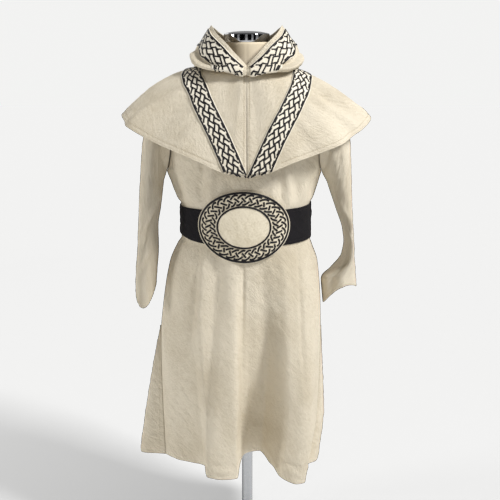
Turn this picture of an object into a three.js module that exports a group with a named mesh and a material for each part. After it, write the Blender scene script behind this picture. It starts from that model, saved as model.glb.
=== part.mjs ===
// A druid's robe with bell sleeves, a hooded shoulder cape trimmed with two knotwork ribbons, and a
// broad belt with an oval plaque, worn by a limbless dress form on a round stand.
// Millimetres, +Z up, the front faces -Y, the origin is the centre of the base's underside.
import * as THREE from "three";

// ---------- driving dimensions ----------
const CLOTH = 2; // wall of the linen
const SEAM_GAP = 0.3; // between two sewn pieces
const REST_GAP = 0.5; // between a piece and the one it lies on
const RIBBON_GAP = 1.3; // under a ribbon: its short straight faces cut across the curved cloth below
const HEM_Z = 300; // the robe's hem above the floor
const ARMPIT_Z = 1075;
const SHOULDER_TIP = { z: 1296, left: 192, right: 190 };
const NECK_SIDE = { x: 80, z: 1334 }; // where the shoulder seam meets the robe's neckline
const GORE_TOP_Z = 660; // the side gores start here
const FOLD_TOP_Z = 858; // the skirt's folds start here
const TRIM_WIDTH = 50;
const TRIM_CLOTH = 1.2;

// The robe's base ring by height: half widths to -X and +X, depths to the front and the back.
const ROBE_SECTIONS = [
  { z: 300, left: 250, right: 185, front: 150, back: 138 },
  { z: 434, left: 246, right: 202, front: 148, back: 136 },
  { z: 581, left: 238, right: 200, front: 145, back: 131 },
  { z: 723, left: 223, right: 196, front: 136, back: 126 },
  { z: 834, left: 203, right: 186, front: 129, back: 119 },
  { z: 884, left: 181, right: 169, front: 127, back: 113 },
  { z: 900, left: 171, right: 164, front: 127, back: 111 },
  { z: 993, left: 171, right: 164, front: 127, back: 111 },
  { z: 1006, left: 180, right: 171, front: 127, back: 113 },
  { z: 1040, left: 193, right: 182, front: 127, back: 115 },
  { z: 1075, left: 206, right: 192, front: 127, back: 114 },
];

// The hem's ridges and valleys: where each starts round the waist (degrees from the centre front,
// minus to -X) and where it ends on the floor plan.
const FRONT_FOLDS = [
  { turn: -90, x: -222, y: -54 },
  { turn: -72, x: -189, y: -84 },
  { turn: -55, x: -150, y: -102 },
  { turn: -40, x: -113, y: -124 },
  { turn: -31, x: -103, y: -184 },
  { turn: -19, x: -62, y: -198 },
  { turn: -9, x: -25, y: -190 },
  { turn: -4, x: -19, y: -112 },
  { turn: 3, x: -2, y: -52 },
  { turn: 14, x: 34, y: -36 },
  { turn: 26, x: 62, y: -110 },
  { turn: 37, x: 92, y: -190 },
  { turn: 50, x: 127, y: -220 },
  { turn: 60, x: 147, y: -212 },
  { turn: 70, x: 156, y: -165 },
  { turn: 80, x: 158, y: -134 },
  { turn: 90, x: 162, y: -112 },
];
const BACK_FOLDS = [
  { turn: 90, x: 176, y: 62 },
  { turn: 103, x: 172, y: 116 },
  { turn: 115, x: 150, y: 176 },
  { turn: 127, x: 114, y: 152 },
  { turn: 138, x: 88, y: 110 },
  { turn: 150, x: 62, y: 150 },
  { turn: 161, x: 32, y: 202 },
  { turn: 173, x: -8, y: 194 },
  { turn: 184, x: -36, y: 134 },
  { turn: 193, x: -58, y: 106 },
  { turn: 205, x: -86, y: 150 },
  { turn: 216, x: -114, y: 198 },
  { turn: 229, x: -154, y: 184 },
  { turn: 242, x: -182, y: 126 },
  { turn: 253, x: -200, y: 96 },
  { turn: 262, x: -216, y: 82 },
  { turn: 270, x: -232, y: 58 },
];
// Each side gore's hem, across from the front seam (0) to the back seam (1).
const LEFT_GORE_HEM = [
  { across: 0, x: -222, y: -54 },
  { across: 0.3, x: -289, y: -42 },
  { across: 0.5, x: -297, y: 2 },
  { across: 0.75, x: -284, y: 44 },
  { across: 1, x: -232, y: 58 },
];
const RIGHT_GORE_HEM = [
  { across: 0, x: 162, y: -112 },
  { across: 0.25, x: 186, y: -92 },
  { across: 0.5, x: 198, y: -30 },
  { across: 0.8, x: 198, y: 30 },
  { across: 1, x: 176, y: 62 },
];

// Soft gathers of the bodice above the belt: place, half width in degrees, and depth (minus is in).
const GATHERS = [
  { turn: -66, half: 8, deep: -5 },
  { turn: -52, half: 7, deep: 4 },
  { turn: -40, half: 7, deep: -4 },
  { turn: 42, half: 7, deep: -4 },
  { turn: 54, half: 7, deep: 4 },
  { turn: 67, half: 7, deep: -5 },
  { turn: 118, half: 10, deep: -5 },
  { turn: 140, half: 10, deep: 5 },
  { turn: 172, half: 12, deep: -6 },
  { turn: 205, half: 11, deep: 5 },
  { turn: 232, half: 11, deep: -5 },
];
const GATHER_Z = { foot: 1000, full: 1030, top: 1110 };

// Sleeve sections from the armhole down: the overarm and underarm lines, half the depth front to
// back, how far the ring's middle lies forward, and how much its front hangs lower.
const LEFT_SLEEVE = [
  { overX: 192, overZ: 1296, underX: 206, underZ: 1075, deep: 62, fore: 0, dip: 0 },
  { overX: 226, overZ: 1271, underX: 208, underZ: 1071, deep: 68, fore: 0, dip: 0 },
  { overX: 252, overZ: 1222, underX: 211, underZ: 1062, deep: 72, fore: 0, dip: 0 },
  { overX: 264, overZ: 1160, underX: 216, underZ: 1046, deep: 73, fore: -2, dip: 0 },
  { overX: 271, overZ: 1095, underX: 219, underZ: 1022, deep: 72, fore: -4, dip: 0 },
  { overX: 277, overZ: 1020, underX: 225, underZ: 978, deep: 68, fore: -6, dip: 0 },
  { overX: 282, overZ: 945, underX: 233, underZ: 925, deep: 62, fore: -8, dip: 0 },
  { overX: 286, overZ: 880, underX: 233, underZ: 872, deep: 60, fore: -10, dip: 2 },
  { overX: 292, overZ: 815, underX: 238, underZ: 812, deep: 62, fore: -10, dip: 8 },
  { overX: 295, overZ: 760, underX: 242, underZ: 768, deep: 64, fore: -10, dip: 40 },
];
const RIGHT_SLEEVE = [
  { overX: 190, overZ: 1296, underX: 192, underZ: 1075, deep: 62, fore: 0, dip: 0 },
  { overX: 226, overZ: 1264, underX: 194, underZ: 1071, deep: 68, fore: 0, dip: 0 },
  { overX: 251, overZ: 1214, underX: 198, underZ: 1062, deep: 72, fore: 0, dip: 0 },
  { overX: 263, overZ: 1160, underX: 207, underZ: 1046, deep: 73, fore: 0, dip: 0 },
  { overX: 268, overZ: 1090, underX: 217, underZ: 1018, deep: 71, fore: 2, dip: 0 },
  { overX: 272, overZ: 1010, underX: 234, underZ: 970, deep: 66, fore: 4, dip: 0 },
  { overX: 277, overZ: 940, underX: 252, underZ: 918, deep: 58, fore: 6, dip: 0 },
  { overX: 281, overZ: 890, underX: 257, underZ: 880, deep: 54, fore: 6, dip: 0 },
  { overX: 284, overZ: 850, underX: 251, underZ: 844, deep: 52, fore: 6, dip: 0 },
  { overX: 287, overZ: 818, underX: 222, underZ: 808, deep: 50, fore: 6, dip: -6 },
  { overX: 290, overZ: 790, underX: 198, underZ: 781, deep: 48, fore: 6, dip: -10 },
  { overX: 292, overZ: 762, underX: 204, underZ: 717, deep: 46, fore: 6, dip: -30 },
];

// The cape's neckline and hem, and how its surface falls between them.
const CAPE_NECK = { wide: 82, deep: 80, y: -8 };
const CAPE_NECK_Z = [
  { turn: 0, z: 1318 },
  { turn: 45, z: 1324 },
  { turn: 90, z: 1337 },
  { turn: 135, z: 1341 },
  { turn: 180, z: 1343 },
];
const CAPE_HEM = { left: 320, right: 312, front: 165, back: 152 };
const CAPE_HEM_Z = [
  { turn: 0, left: 1079, right: 1079 },
  { turn: 10, left: 1092, right: 1092 },
  { turn: 21, left: 1117, right: 1115 },
  { turn: 33, left: 1141, right: 1134 },
  { turn: 48, left: 1164, right: 1155 },
  { turn: 63, left: 1189, right: 1180 },
  { turn: 90, left: 1216, right: 1214 },
  { turn: 118, left: 1182, right: 1178 },
  { turn: 150, left: 1124, right: 1122 },
  { turn: 180, left: 1098, right: 1098 },
];
// How late the surface drops from the neckline to the hem: 1 is a straight slope.
const CAPE_FALL = { front: 1.3, left: 2.2, right: 1.7 };
const CAPE_FOLDS = [
  { turn: -30, half: 9, deep: 5 },
  { turn: -46, half: 8, deep: -10 },
  { turn: -62, half: 9, deep: 7 },
  { turn: -80, half: 8, deep: -4 },
  { turn: 33, half: 7, deep: -7 },
  { turn: 45, half: 8, deep: 7 },
  { turn: 59, half: 8, deep: -8 },
  { turn: 76, half: 9, deep: 5 },
  { turn: 112, half: 10, deep: -9 },
  { turn: 132, half: 11, deep: 8 },
  { turn: 158, half: 11, deep: -8 },
  { turn: -108, half: 10, deep: 7 },
  { turn: -126, half: 10, deep: -9 },
  { turn: -150, half: 12, deep: 8 },
];
// The seam of yoke and cape, under the ribbon: how far down the cape it runs at each turn.
const YOKE_SEAM = [
  { turn: 6, down: 1 },
  { turn: 11.5, down: 0.85 },
  { turn: 18, down: 0.72 },
  { turn: 29, down: 0.57 },
  { turn: 44, down: 0.42 },
  { turn: 70, down: 0.28 },
  { turn: 100, down: 0.18 },
  { turn: 126, down: 0.07 },
  { turn: 143, down: 0.025 },
];

// The lowered hood in vertical sections round the neck. From the neck seam the cloth runs out, a
// lift above the cape (under, low), round its belly and up its outside (side) to the face edge (rim).
const HOOD_SECTIONS = [
  { turn: 0, underOut: 86, underLift: 10, lowOut: 94, lowLift: 28, bellyOut: 96, bellyZ: 1329, sideOut: 90, sideZ: 1336, rimOut: 79, rimZ: 1343 },
  { turn: 20, underOut: 89, underLift: 11, lowOut: 100, lowLift: 26, bellyOut: 104, bellyZ: 1330, sideOut: 96, sideZ: 1347, rimOut: 80, rimZ: 1371 },
  { turn: 40, underOut: 95, underLift: 10, lowOut: 108, lowLift: 18, bellyOut: 113, bellyZ: 1328, sideOut: 101, sideZ: 1360, rimOut: 82, rimZ: 1398 },
  { turn: 62, underOut: 104, underLift: 9, lowOut: 122, lowLift: 11, bellyOut: 129, bellyZ: 1337, sideOut: 108, sideZ: 1379, rimOut: 85, rimZ: 1419 },
  { turn: 86, underOut: 108, underLift: 7, lowOut: 130, lowLift: 9, bellyOut: 140, bellyZ: 1349, sideOut: 114, sideZ: 1395, rimOut: 88, rimZ: 1437 },
  { turn: 112, underOut: 110, underLift: 7, lowOut: 136, lowLift: 9, bellyOut: 150, bellyZ: 1343, sideOut: 126, sideZ: 1390, rimOut: 89, rimZ: 1431 },
  { turn: 140, underOut: 114, underLift: 8, lowOut: 148, lowLift: 9, bellyOut: 172, bellyZ: 1272, sideOut: 154, sideZ: 1354, rimOut: 93, rimZ: 1413 },
  { turn: 162, underOut: 114, underLift: 10, lowOut: 146, lowLift: 13, bellyOut: 182, bellyZ: 1229, sideOut: 166, sideZ: 1332, rimOut: 97, rimZ: 1402 },
  { turn: 180, underOut: 114, underLift: 10, lowOut: 144, lowLift: 15, bellyOut: 183, bellyZ: 1214, sideOut: 169, sideZ: 1324, rimOut: 99, rimZ: 1398 },
];
const HOOD_RIM_BINDING = 9; // plain cloth left beside the ribbon along the face edge

// The belt's lower and upper edge by turn, and its plaque.
const BELT_EDGES = [
  { turn: -180, foot: 906, top: 990 },
  { turn: -120, foot: 910, top: 987 },
  { turn: -90, foot: 913, top: 986 },
  { turn: -45, foot: 904, top: 990 },
  { turn: 0, foot: 900, top: 992 },
  { turn: 45, foot: 901, top: 992 },
  { turn: 90, foot: 902, top: 993 },
  { turn: 120, foot: 904, top: 992 },
  { turn: 180, foot: 906, top: 990 },
];
const BELT_CLOTH = 2.5;
const PLAQUE = { x: -7, z: 951, halfWide: 112, halfHigh: 91, cloth: 3 };

// The dress form by height, the neck's metal cap and the stand.
const FORM_SECTIONS = [
  { z: 720, wide: 148, front: 90, back: 100, round: 2 },
  { z: 780, wide: 160, front: 101, back: 107, round: 2 },
  { z: 850, wide: 157, front: 102, back: 102, round: 2 },
  { z: 946, wide: 134, front: 96, back: 88, round: 2 },
  { z: 1040, wide: 148, front: 106, back: 92, round: 2 },
  { z: 1130, wide: 166, front: 106, back: 92, round: 2 },
  { z: 1200, wide: 174, front: 95, back: 84, round: 2 },
  { z: 1250, wide: 176, front: 78, back: 70, round: 1.9 },
  { z: 1278, wide: 172, front: 68, back: 62, round: 1.6 },
  { z: 1293, wide: 166, front: 63, back: 58, round: 1.35 },
  { z: 1303, wide: 156, front: 60, back: 56, round: 1.2 },
  { z: 1313, wide: 133, front: 58, back: 55, round: 1.15 },
  { z: 1323, wide: 101, front: 57, back: 55, round: 1.3 },
  { z: 1331, wide: 77, front: 57, back: 55, round: 1.6 },
  { z: 1343, wide: 62, front: 57, back: 55, round: 1.9 },
  { z: 1366, wide: 57, front: 56, back: 55, round: 2 },
  { z: 1397, wide: 56, front: 56, back: 56, round: 2 },
];
const CAP = { radius: 57, edge: 20, dome: 6 };
const POLE = { radius: 14, flange: 46, flangeThick: 8 };
const BASE = { radius: 175, thick: 7, round: 2, collar: 24, collarHigh: 46 };

// ---------- numbers ----------
const radians = (degrees) => (degrees * Math.PI) / 180;
const lerp = (a, b, t) => a + (b - a) * t;
const clamp01 = (t) => Math.min(1, Math.max(0, t));
const ease = (t) => clamp01(t) ** 2 * (3 - 2 * clamp01(t));

// A column of a table at a key, on a smooth curve that never overshoots its rows.
function column(table, key, name, at) {
  const last = table.length - 1;
  if (at <= table[0][key]) return table[0][name];
  if (at >= table[last][key]) return table[last][name];
  let i = 0;
  while (at > table[i + 1][key]) i += 1;
  const slope = (k) => (table[k + 1][name] - table[k][name]) / (table[k + 1][key] - table[k][key]);
  const tangent = (k) => {
    if (k === 0) return slope(0);
    if (k === last) return slope(last - 1);
    const before = slope(k - 1);
    const after = slope(k);
    return before * after <= 0 ? 0 : (2 * before * after) / (before + after);
  };
  const span = table[i + 1][key] - table[i][key];
  const t = (at - table[i][key]) / span;
  const h = t * t * (3 - 2 * t);
  return (
    table[i][name] * (1 - h) +
    table[i + 1][name] * h +
    span * (tangent(i) * t * (1 - t) ** 2 - tangent(i + 1) * t * t * (1 - t))
  );
}

// The sum of a table's soft waves at a turn.
const waves = (table, turn) =>
  table.reduce((sum, wave) => {
    const off = Math.abs(((((turn - wave.turn) % 360) + 540) % 360) - 180) / (2 * wave.half);
    return off >= 1 ? sum : sum + wave.deep * Math.cos((off * Math.PI) / 2) ** 2;
  }, 0);

// ---------- closed walls ----------
// The outward normals of a grid of points, from its neighbours.
function gridNormals(grid, closed) {
  const rows = grid.length;
  const cols = grid[0].length;
  const at = (i, j) => grid[i][closed ? (j + cols) % cols : Math.min(cols - 1, Math.max(0, j))];
  return grid.map((row, i) =>
    row.map((point, j) => {
      const along = at(i, j + 1).clone().sub(at(i, j - 1));
      const up = at(Math.min(rows - 1, i + 1), j).clone().sub(at(Math.max(0, i - 1), j));
      const normal = along.cross(up);
      // On a seam in the object's middle planes the wall stands in the plane.
      if (!closed && Math.abs(point.x) < 1) normal.x = 0;
      if (!closed && Math.abs(point.y) < 1) normal.y = 0;
      return normal.normalize();
    }),
  );
}

// A solid wall from a grid of points, rows by columns. Its outer skin is the grid lifted along the
// normals, its inner skin lies one wall below. A closed grid is a tube.
function wallGeometry(grid, { wall = CLOTH, lift = 0, closed = false } = {}) {
  const rows = grid.length;
  const cols = grid[0].length;
  const normals = gridNormals(grid, closed);
  const positions = [];
  for (const depth of [lift, lift - wall]) {
    grid.forEach((row, i) =>
      row.forEach((point, j) => {
        const moved = point.clone().addScaledVector(normals[i][j], depth);
        positions.push(moved.x, moved.y, moved.z);
      }),
    );
  }
  const inner = rows * cols;
  const index = (i, j) => i * cols + (closed ? j % cols : j);
  const faces = [];
  const quad = (a, b, c, d) => faces.push(a, b, c, a, c, d);
  const lastCol = closed ? cols : cols - 1;
  for (let i = 0; i < rows - 1; i += 1) {
    for (let j = 0; j < lastCol; j += 1) {
      const [a, b, c, d] = [index(i, j), index(i, j + 1), index(i + 1, j + 1), index(i + 1, j)];
      quad(a, b, c, d);
      quad(a + inner, d + inner, c + inner, b + inner);
    }
  }
  for (let j = 0; j < lastCol; j += 1) {
    const [a, b] = [index(0, j), index(0, j + 1)];
    const [c, d] = [index(rows - 1, j), index(rows - 1, j + 1)];
    quad(a, a + inner, b + inner, b);
    quad(d, d + inner, c + inner, c);
  }
  if (!closed) {
    for (let i = 0; i < rows - 1; i += 1) {
      const [a, b] = [index(i, 0), index(i + 1, 0)];
      const [c, d] = [index(i, cols - 1), index(i + 1, cols - 1)];
      quad(b, b + inner, a + inner, a);
      quad(c, c + inner, d + inner, d);
    }
  }
  return indexed(positions, faces);
}

function indexed(positions, faces) {
  const geometry = new THREE.BufferGeometry();
  geometry.setAttribute("position", new THREE.Float32BufferAttribute(positions, 3));
  geometry.setIndex(faces);
  return geometry;
}

// A solid from a stack of rings, closed by a fan at each end.
function loftGeometry(rings) {
  const count = rings[0].length;
  const positions = rings.flat().flatMap((p) => [p.x, p.y, p.z]);
  const faces = [];
  for (let i = 0; i < rings.length - 1; i += 1) {
    for (let j = 0; j < count; j += 1) {
      const [a, b] = [i * count + j, i * count + ((j + 1) % count)];
      faces.push(a, b, b + count, a, b + count, a + count);
    }
  }
  for (const end of [0, rings.length - 1]) {
    const middle = rings[end].reduce((sum, p) => sum.add(p), new THREE.Vector3()).divideScalar(count);
    positions.push(middle.x, middle.y, middle.z);
    const centre = positions.length / 3 - 1;
    for (let j = 0; j < count; j += 1) {
      const [a, b] = [end * count + j, end * count + ((j + 1) % count)];
      faces.push(...(end === 0 ? [centre, b, a] : [centre, a, b]));
    }
  }
  return indexed(positions, faces);
}

// ---------- the robe's body ----------
const sideOf = (turn) => (Math.sin(radians(turn)) < 0 ? "left" : "right");

// A point of the robe's base ring, before folds.
function robeRing(turn, z) {
  const [across, forward] = [Math.sin(radians(turn)), Math.cos(radians(turn))];
  const wide = column(ROBE_SECTIONS, "z", sideOf(turn), z);
  const deep = column(ROBE_SECTIONS, "z", forward > 0 ? "front" : "back", z);
  return new THREE.Vector3(wide * across, -deep * forward, z);
}

// How far the hem's shape has grown in at a height: folds fade in below the belt, and next to the
// side seams the skirt opens only below the gores' tops.
const foldGrowth = (z) => clamp01((FOLD_TOP_Z - z) / (FOLD_TOP_Z - HEM_Z)) ** 1.3;
const goreOpening = (z) => clamp01((GORE_TOP_Z - z) / (GORE_TOP_Z - HEM_Z));

function gatherDepth(turn, z) {
  const rise = ease((z - GATHER_Z.foot) / (GATHER_Z.full - GATHER_Z.foot));
  const fade = 1 - ease((z - GATHER_Z.full) / (GATHER_Z.top - GATHER_Z.full));
  return waves(GATHERS, turn) * rise * fade;
}

function skirtPoint(folds, turn, z) {
  const ring = robeRing(turn, z);
  const hemRing = robeRing(turn, HEM_Z);
  const toSeam = 1 - clamp01(Math.min(turn - folds[0].turn, folds.at(-1).turn - turn) / 25);
  const growth = lerp(foldGrowth(z), goreOpening(z), ease(toSeam));
  ring.x += (column(folds, "turn", "x", turn) - hemRing.x) * growth;
  ring.y += (column(folds, "turn", "y", turn) - hemRing.y) * growth;
  const outward = new THREE.Vector3(ring.x, ring.y, 0).normalize();
  return ring.addScaledVector(outward, gatherDepth(turn, z));
}

// Half an armhole from the armpit (0) to the shoulder tip (1); forward is -1 for the front half.
function armholePoint(side, forward, rise) {
  const sign = side === "left" ? -1 : 1;
  const armpit = column(ROBE_SECTIONS, "z", side, ARMPIT_Z);
  const bend = Math.sin(Math.PI * rise);
  const x = lerp(armpit, SHOULDER_TIP[side], rise) - 14 * bend;
  const z = lerp(ARMPIT_Z, SHOULDER_TIP.z, (1 - Math.cos(Math.PI * rise)) / 2);
  return new THREE.Vector3(sign * x, forward * 62 * bend, z);
}

const NECK_TURN = 26; // the turn at which a panel's top leaves the neckline for the shoulder seam
const NECK_DIP = { front: { y: -86, z: 1297 }, back: { y: 70, z: 1338 } };

// The top edge of the front or back panel: shoulder seam, neckline, shoulder seam.
function panelTop(face, offCentre) {
  const dip = NECK_DIP[face];
  const sign = Math.sign(offCentre);
  const off = Math.abs(offCentre);
  if (off >= NECK_TURN) {
    const t = (off - NECK_TURN) / (90 - NECK_TURN);
    const tip = SHOULDER_TIP[sign < 0 ? "left" : "right"];
    const lean = face === "front" ? -SEAM_GAP : SEAM_GAP;
    return new THREE.Vector3(sign * lerp(NECK_SIDE.x, tip, t), lean, lerp(NECK_SIDE.z, SHOULDER_TIP.z, t));
  }
  const bow = radians((off / NECK_TURN) * 90);
  const z = lerp(dip.z, NECK_SIDE.z, Math.sin(bow) ** 2);
  return new THREE.Vector3(sign * NECK_SIDE.x * Math.sin(bow), dip.y * Math.cos(bow), z);
}

// The chest or back above the armpits: quarter ellipses from the ring at the armpits to the panel's
// top edge, drawn out at the sides to the half armholes.
function upperPoint(face, offCentre, rise) {
  const across = (offCentre + 90) / 180;
  const forward = face === "front" ? -1 : 1;
  const arch = (off) => {
    const ring = robeRing(face === "front" ? off : 180 - off, ARMPIT_Z);
    const top = panelTop(face, off);
    const up = Math.sin((Math.PI / 2) * rise);
    const round = ease((Math.abs(off) - 12) / 26);
    const out = lerp((1 - up) ** 0.65, Math.cos((Math.PI / 2) * rise), round);
    return new THREE.Vector3(
      lerp(ring.x, top.x, rise ** 1.5),
      lerp(top.y, ring.y, out),
      lerp(ring.z, top.z, up),
    );
  };
  const point = arch(offCentre);
  for (const [side, edge, share] of [["left", -90, 1 - across], ["right", 90, across]]) {
    point.addScaledVector(armholePoint(side, forward, rise).sub(arch(edge)), share ** 5);
  }
  return point;
}

const SKIRT_LEVELS = [300, 380, 460, 540, 600, 660, 740, 800, 842, 884, 900, 993, 1006, 1040, 1075];
const UPPER_LEVELS = [0.17, 0.34, 0.51, 0.68, 0.84, 1];

// Columns spaced by both the turn and the length of the hem, so that deep folds get enough of them.
function foldTurns(folds, count) {
  const [first, last] = [folds[0].turn, folds.at(-1).turn];
  const steps = 240;
  const walked = [0];
  for (let i = 1; i <= steps; i += 1) {
    const [a, b] = [i - 1, i].map((k) => lerp(first, last, k / steps));
    const run = ["x", "y"].map((axis) => column(folds, "turn", axis, b) - column(folds, "turn", axis, a));
    walked.push(walked[i - 1] + Math.hypot(...run) + 1.6 * (b - a));
  }
  return Array.from({ length: count + 1 }, (_, k) => {
    const wanted = (walked[steps] * k) / count;
    const i = Math.max(1, walked.findIndex((w) => w >= wanted));
    return lerp(first, last, (i - 1 + (wanted - walked[i - 1]) / (walked[i] - walked[i - 1])) / steps);
  });
}

// The front or back of the robe, from the hem to the shoulder seams.
function robePanel(face, folds, count) {
  const turns = foldTurns(folds, count);
  const rows = [
    ...SKIRT_LEVELS.map((z) => turns.map((turn) => skirtPoint(folds, turn, z))),
    ...UPPER_LEVELS.map((rise) => turns.map((turn) => upperPoint(face, face === "front" ? turn : 180 - turn, rise))),
  ];
  return wallGeometry(insetEnds(rows));
}

// Draws the grid's first and last columns in by half a seam gap.
function insetEnds(rows) {
  return rows.map((row) => {
    const inset = row.map((p) => p.clone());
    for (const [end, next] of [[0, 1], [row.length - 1, row.length - 2]]) {
      const step = row[next].clone().sub(row[end]);
      inset[end].addScaledVector(step.normalize(), SEAM_GAP);
    }
    return inset;
  });
}

// A triangular gore let into a side seam below GORE_TOP_Z.
function gorePanel(side, hem) {
  const levels = [300, 380, 460, 540, 600, 652];
  const seamTurn = side === "left" ? -90 : 90;
  const rows = levels.map((z) =>
    Array.from({ length: 9 }, (_, j) => {
      const point = robeRing(seamTurn, z);
      const hemRing = robeRing(seamTurn, HEM_Z);
      point.x += (column(hem, "across", "x", j / 8) - hemRing.x) * goreOpening(z);
      point.y += (column(hem, "across", "y", j / 8) - hemRing.y) * goreOpening(z);
      return point;
    }),
  );
  // Columns run from the front seam to the back, so the -X gore is turned to face outwards.
  return wallGeometry(insetEnds(side === "left" ? rows.map((row) => row.reverse()) : rows));
}

// ---------- sleeves ----------
function sleeveGeometry(side, sections) {
  const sign = side === "left" ? -1 : 1;
  const spokes = 18;
  const rings = sections.map((s, k) => {
    const start = k === 0 ? 2.2 : 0; // clears the armhole's edge
    return Array.from({ length: spokes }, (_, j) => {
      const around = (2 * Math.PI * j) / spokes; // 0 under the arm, a quarter at the front
      const along = (1 - Math.cos(around)) / 2;
      const bend = k === 0 ? 14 * Math.abs(Math.sin(around)) : 0;
      const x = lerp(s.underX, s.overX, along) - bend + start;
      const front = Math.max(0, Math.sin(around));
      const y = -s.deep * Math.sin(around) + s.fore;
      return new THREE.Vector3(sign * x, y, lerp(s.underZ, s.overZ, along) - s.dip * front);
    });
  });
  // Rings run from the armhole down: they are turned so that the wall faces outwards on both sides.
  return wallGeometry(side === "left" ? rings : rings.map((ring) => ring.reverse()), { closed: true });
}

// ---------- cape, yoke and ribbons ----------
function capePoint(turn, down) {
  const [across, forward] = [Math.sin(radians(turn)), Math.cos(radians(turn))];
  const off = Math.abs(turn);
  const neck = new THREE.Vector3(
    CAPE_NECK.wide * across,
    CAPE_NECK.y - CAPE_NECK.deep * forward,
    column(CAPE_NECK_Z, "turn", "z", off),
  );
  const hem = new THREE.Vector3(
    CAPE_HEM[sideOf(turn)] * across,
    -(forward > 0 ? CAPE_HEM.front : CAPE_HEM.back) * forward,
    column(CAPE_HEM_Z, "turn", sideOf(turn), off),
  );
  const fall = lerp(CAPE_FALL.front, CAPE_FALL[sideOf(turn)], across * across);
  const point = new THREE.Vector3(
    lerp(neck.x, hem.x, down),
    lerp(neck.y, hem.y, down),
    lerp(neck.z, hem.z, Math.max(0, down) ** fall),
  );
  const outward = new THREE.Vector3(across, -forward, 0.35).normalize();
  return point.addScaledVector(outward, waves(CAPE_FOLDS, turn) * Math.max(0, down) ** 1.6);
}

const seamDown = (turn) => column(YOKE_SEAM, "turn", "down", Math.abs(turn));

// A panel of the cape between two turns, from one distance down it to another.
function capePanel(turns, from, to, rowCount) {
  const rows = Array.from({ length: rowCount + 1 }, (_, i) =>
    turns.map((turn) => capePoint(turn, lerp(from(turn), to(turn), i / rowCount))),
  );
  return wallGeometry(rows.reverse());
}

const turnsBetween = (first, last, count) => Array.from({ length: count + 1 }, (_, k) => lerp(first, last, k / count));
const CAPE_TURNS = [6.8, 9, 11.5, 14.5, 18, 22, 27, 33, 40, 48, 57, 67, 78, 90, 102, 114, 126, 136, 143];
const CENTRE_GAP = 0.12; // degrees beside a seam in the middle plane
const SEAM_STEP = 0.0026; // half a seam gap as a share of the cape's length

function yokePanel(sign) {
  const turns = [CENTRE_GAP, 3.5, ...CAPE_TURNS.slice(0, -1)].map((turn) => sign * turn);
  return capePanel(sign < 0 ? turns.reverse() : turns, () => 0, (turn) => seamDown(turn) - SEAM_STEP, 5);
}

function capeSide(sign) {
  const turns = [...CAPE_TURNS, 151, 159, 167, 174, 180 - CENTRE_GAP].map((turn) => sign * turn);
  return capePanel(sign < 0 ? turns.reverse() : turns, (turn) => (Math.abs(turn) > 143 ? 0 : seamDown(turn) + SEAM_STEP), () => 1, 6);
}

// The turn and distance down of the cape's point nearest to a target, from a guess.
function onCape(guess, target) {
  const at = { ...guess };
  const [stepTurn, stepDown] = [0.2, 0.004];
  for (let k = 0; k < 6; k += 1) {
    const here = capePoint(at.turn, at.down);
    const byTurn = capePoint(at.turn + stepTurn, at.down).sub(here).divideScalar(stepTurn);
    const byDown = capePoint(at.turn, at.down + stepDown).sub(here).divideScalar(stepDown);
    const miss = target.clone().sub(here);
    const [aa, ab, bb] = [byTurn.dot(byTurn), byTurn.dot(byDown), byDown.dot(byDown)];
    const [am, bm] = [byTurn.dot(miss), byDown.dot(miss)];
    const det = aa * bb - ab * ab;
    at.turn += (am * bb - bm * ab) / det;
    at.down = Math.max(0.02, at.down + (bm * aa - am * ab) / det);
  }
  return at;
}

function capeNormal(turn, down) {
  const along = capePoint(turn + 0.2, down).sub(capePoint(turn - 0.2, down));
  const up = capePoint(turn, down - 0.004).sub(capePoint(turn, down + 0.004));
  return along.cross(up).normalize();
}

// The ribbon over the yoke's seam, from the hem's centre over the shoulder to the neck behind. Its
// foot is cut along the hem, and it turns square to its own run within a short way.
function capeTrim(sign) {
  const rows = CAPE_TURNS.filter((turn) => turn < 120).map((off, i) => {
    const turn = sign * off;
    const down = Math.min(1, seamDown(turn));
    const here = capePoint(turn, down);
    const ahead = capePoint(sign * (off + 0.6), seamDown(off + 0.6));
    const behind = capePoint(sign * Math.max(8, off - 0.6), seamDown(Math.max(8, off - 0.6)));
    const run = ahead.sub(behind).normalize();
    const normal = capeNormal(turn, down);
    const square = normal.clone().cross(run).normalize();
    const alongHem = capePoint(turn + 0.5, 1).sub(capePoint(turn - 0.5, 1)).normalize();
    if (alongHem.dot(square) < 0) alongHem.negate();
    const across = alongHem.lerp(square, ease(i / 4)).normalize();
    const widen = 1 / across.clone().cross(run).length();
    return [-1, -0.6, -0.2, 0.2, 0.6, 1].map((share) => {
      const target = here.clone().addScaledVector(across, (share * widen * TRIM_WIDTH) / 2);
      const at = onCape({ turn, down }, target);
      at.down = Math.min(1, at.down);
      return capePoint(at.turn, at.down).addScaledVector(
        capeNormal(at.turn, at.down),
        RIBBON_GAP + TRIM_CLOTH,
      );
    });
  });
  // Rows run up the ribbon with their left edge first, so they are turned to face outwards.
  return wallGeometry(rows.map((row) => row.reverse()), { wall: TRIM_CLOTH });
}

// ---------- hood ----------
// The height of the cape at a turn, a distance out from the neck's axis.
function capeHeight(turn, out) {
  const reach = (down) => {
    const point = capePoint(turn, down);
    return Math.hypot(point.x, point.y - CAPE_NECK.y);
  };
  let [near, far] = [0, 1];
  for (let k = 0; k < 20; k += 1) {
    const middle = (near + far) / 2;
    if (reach(middle) < out) near = middle;
    else far = middle;
  }
  return capePoint(turn, near).z;
}

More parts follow.
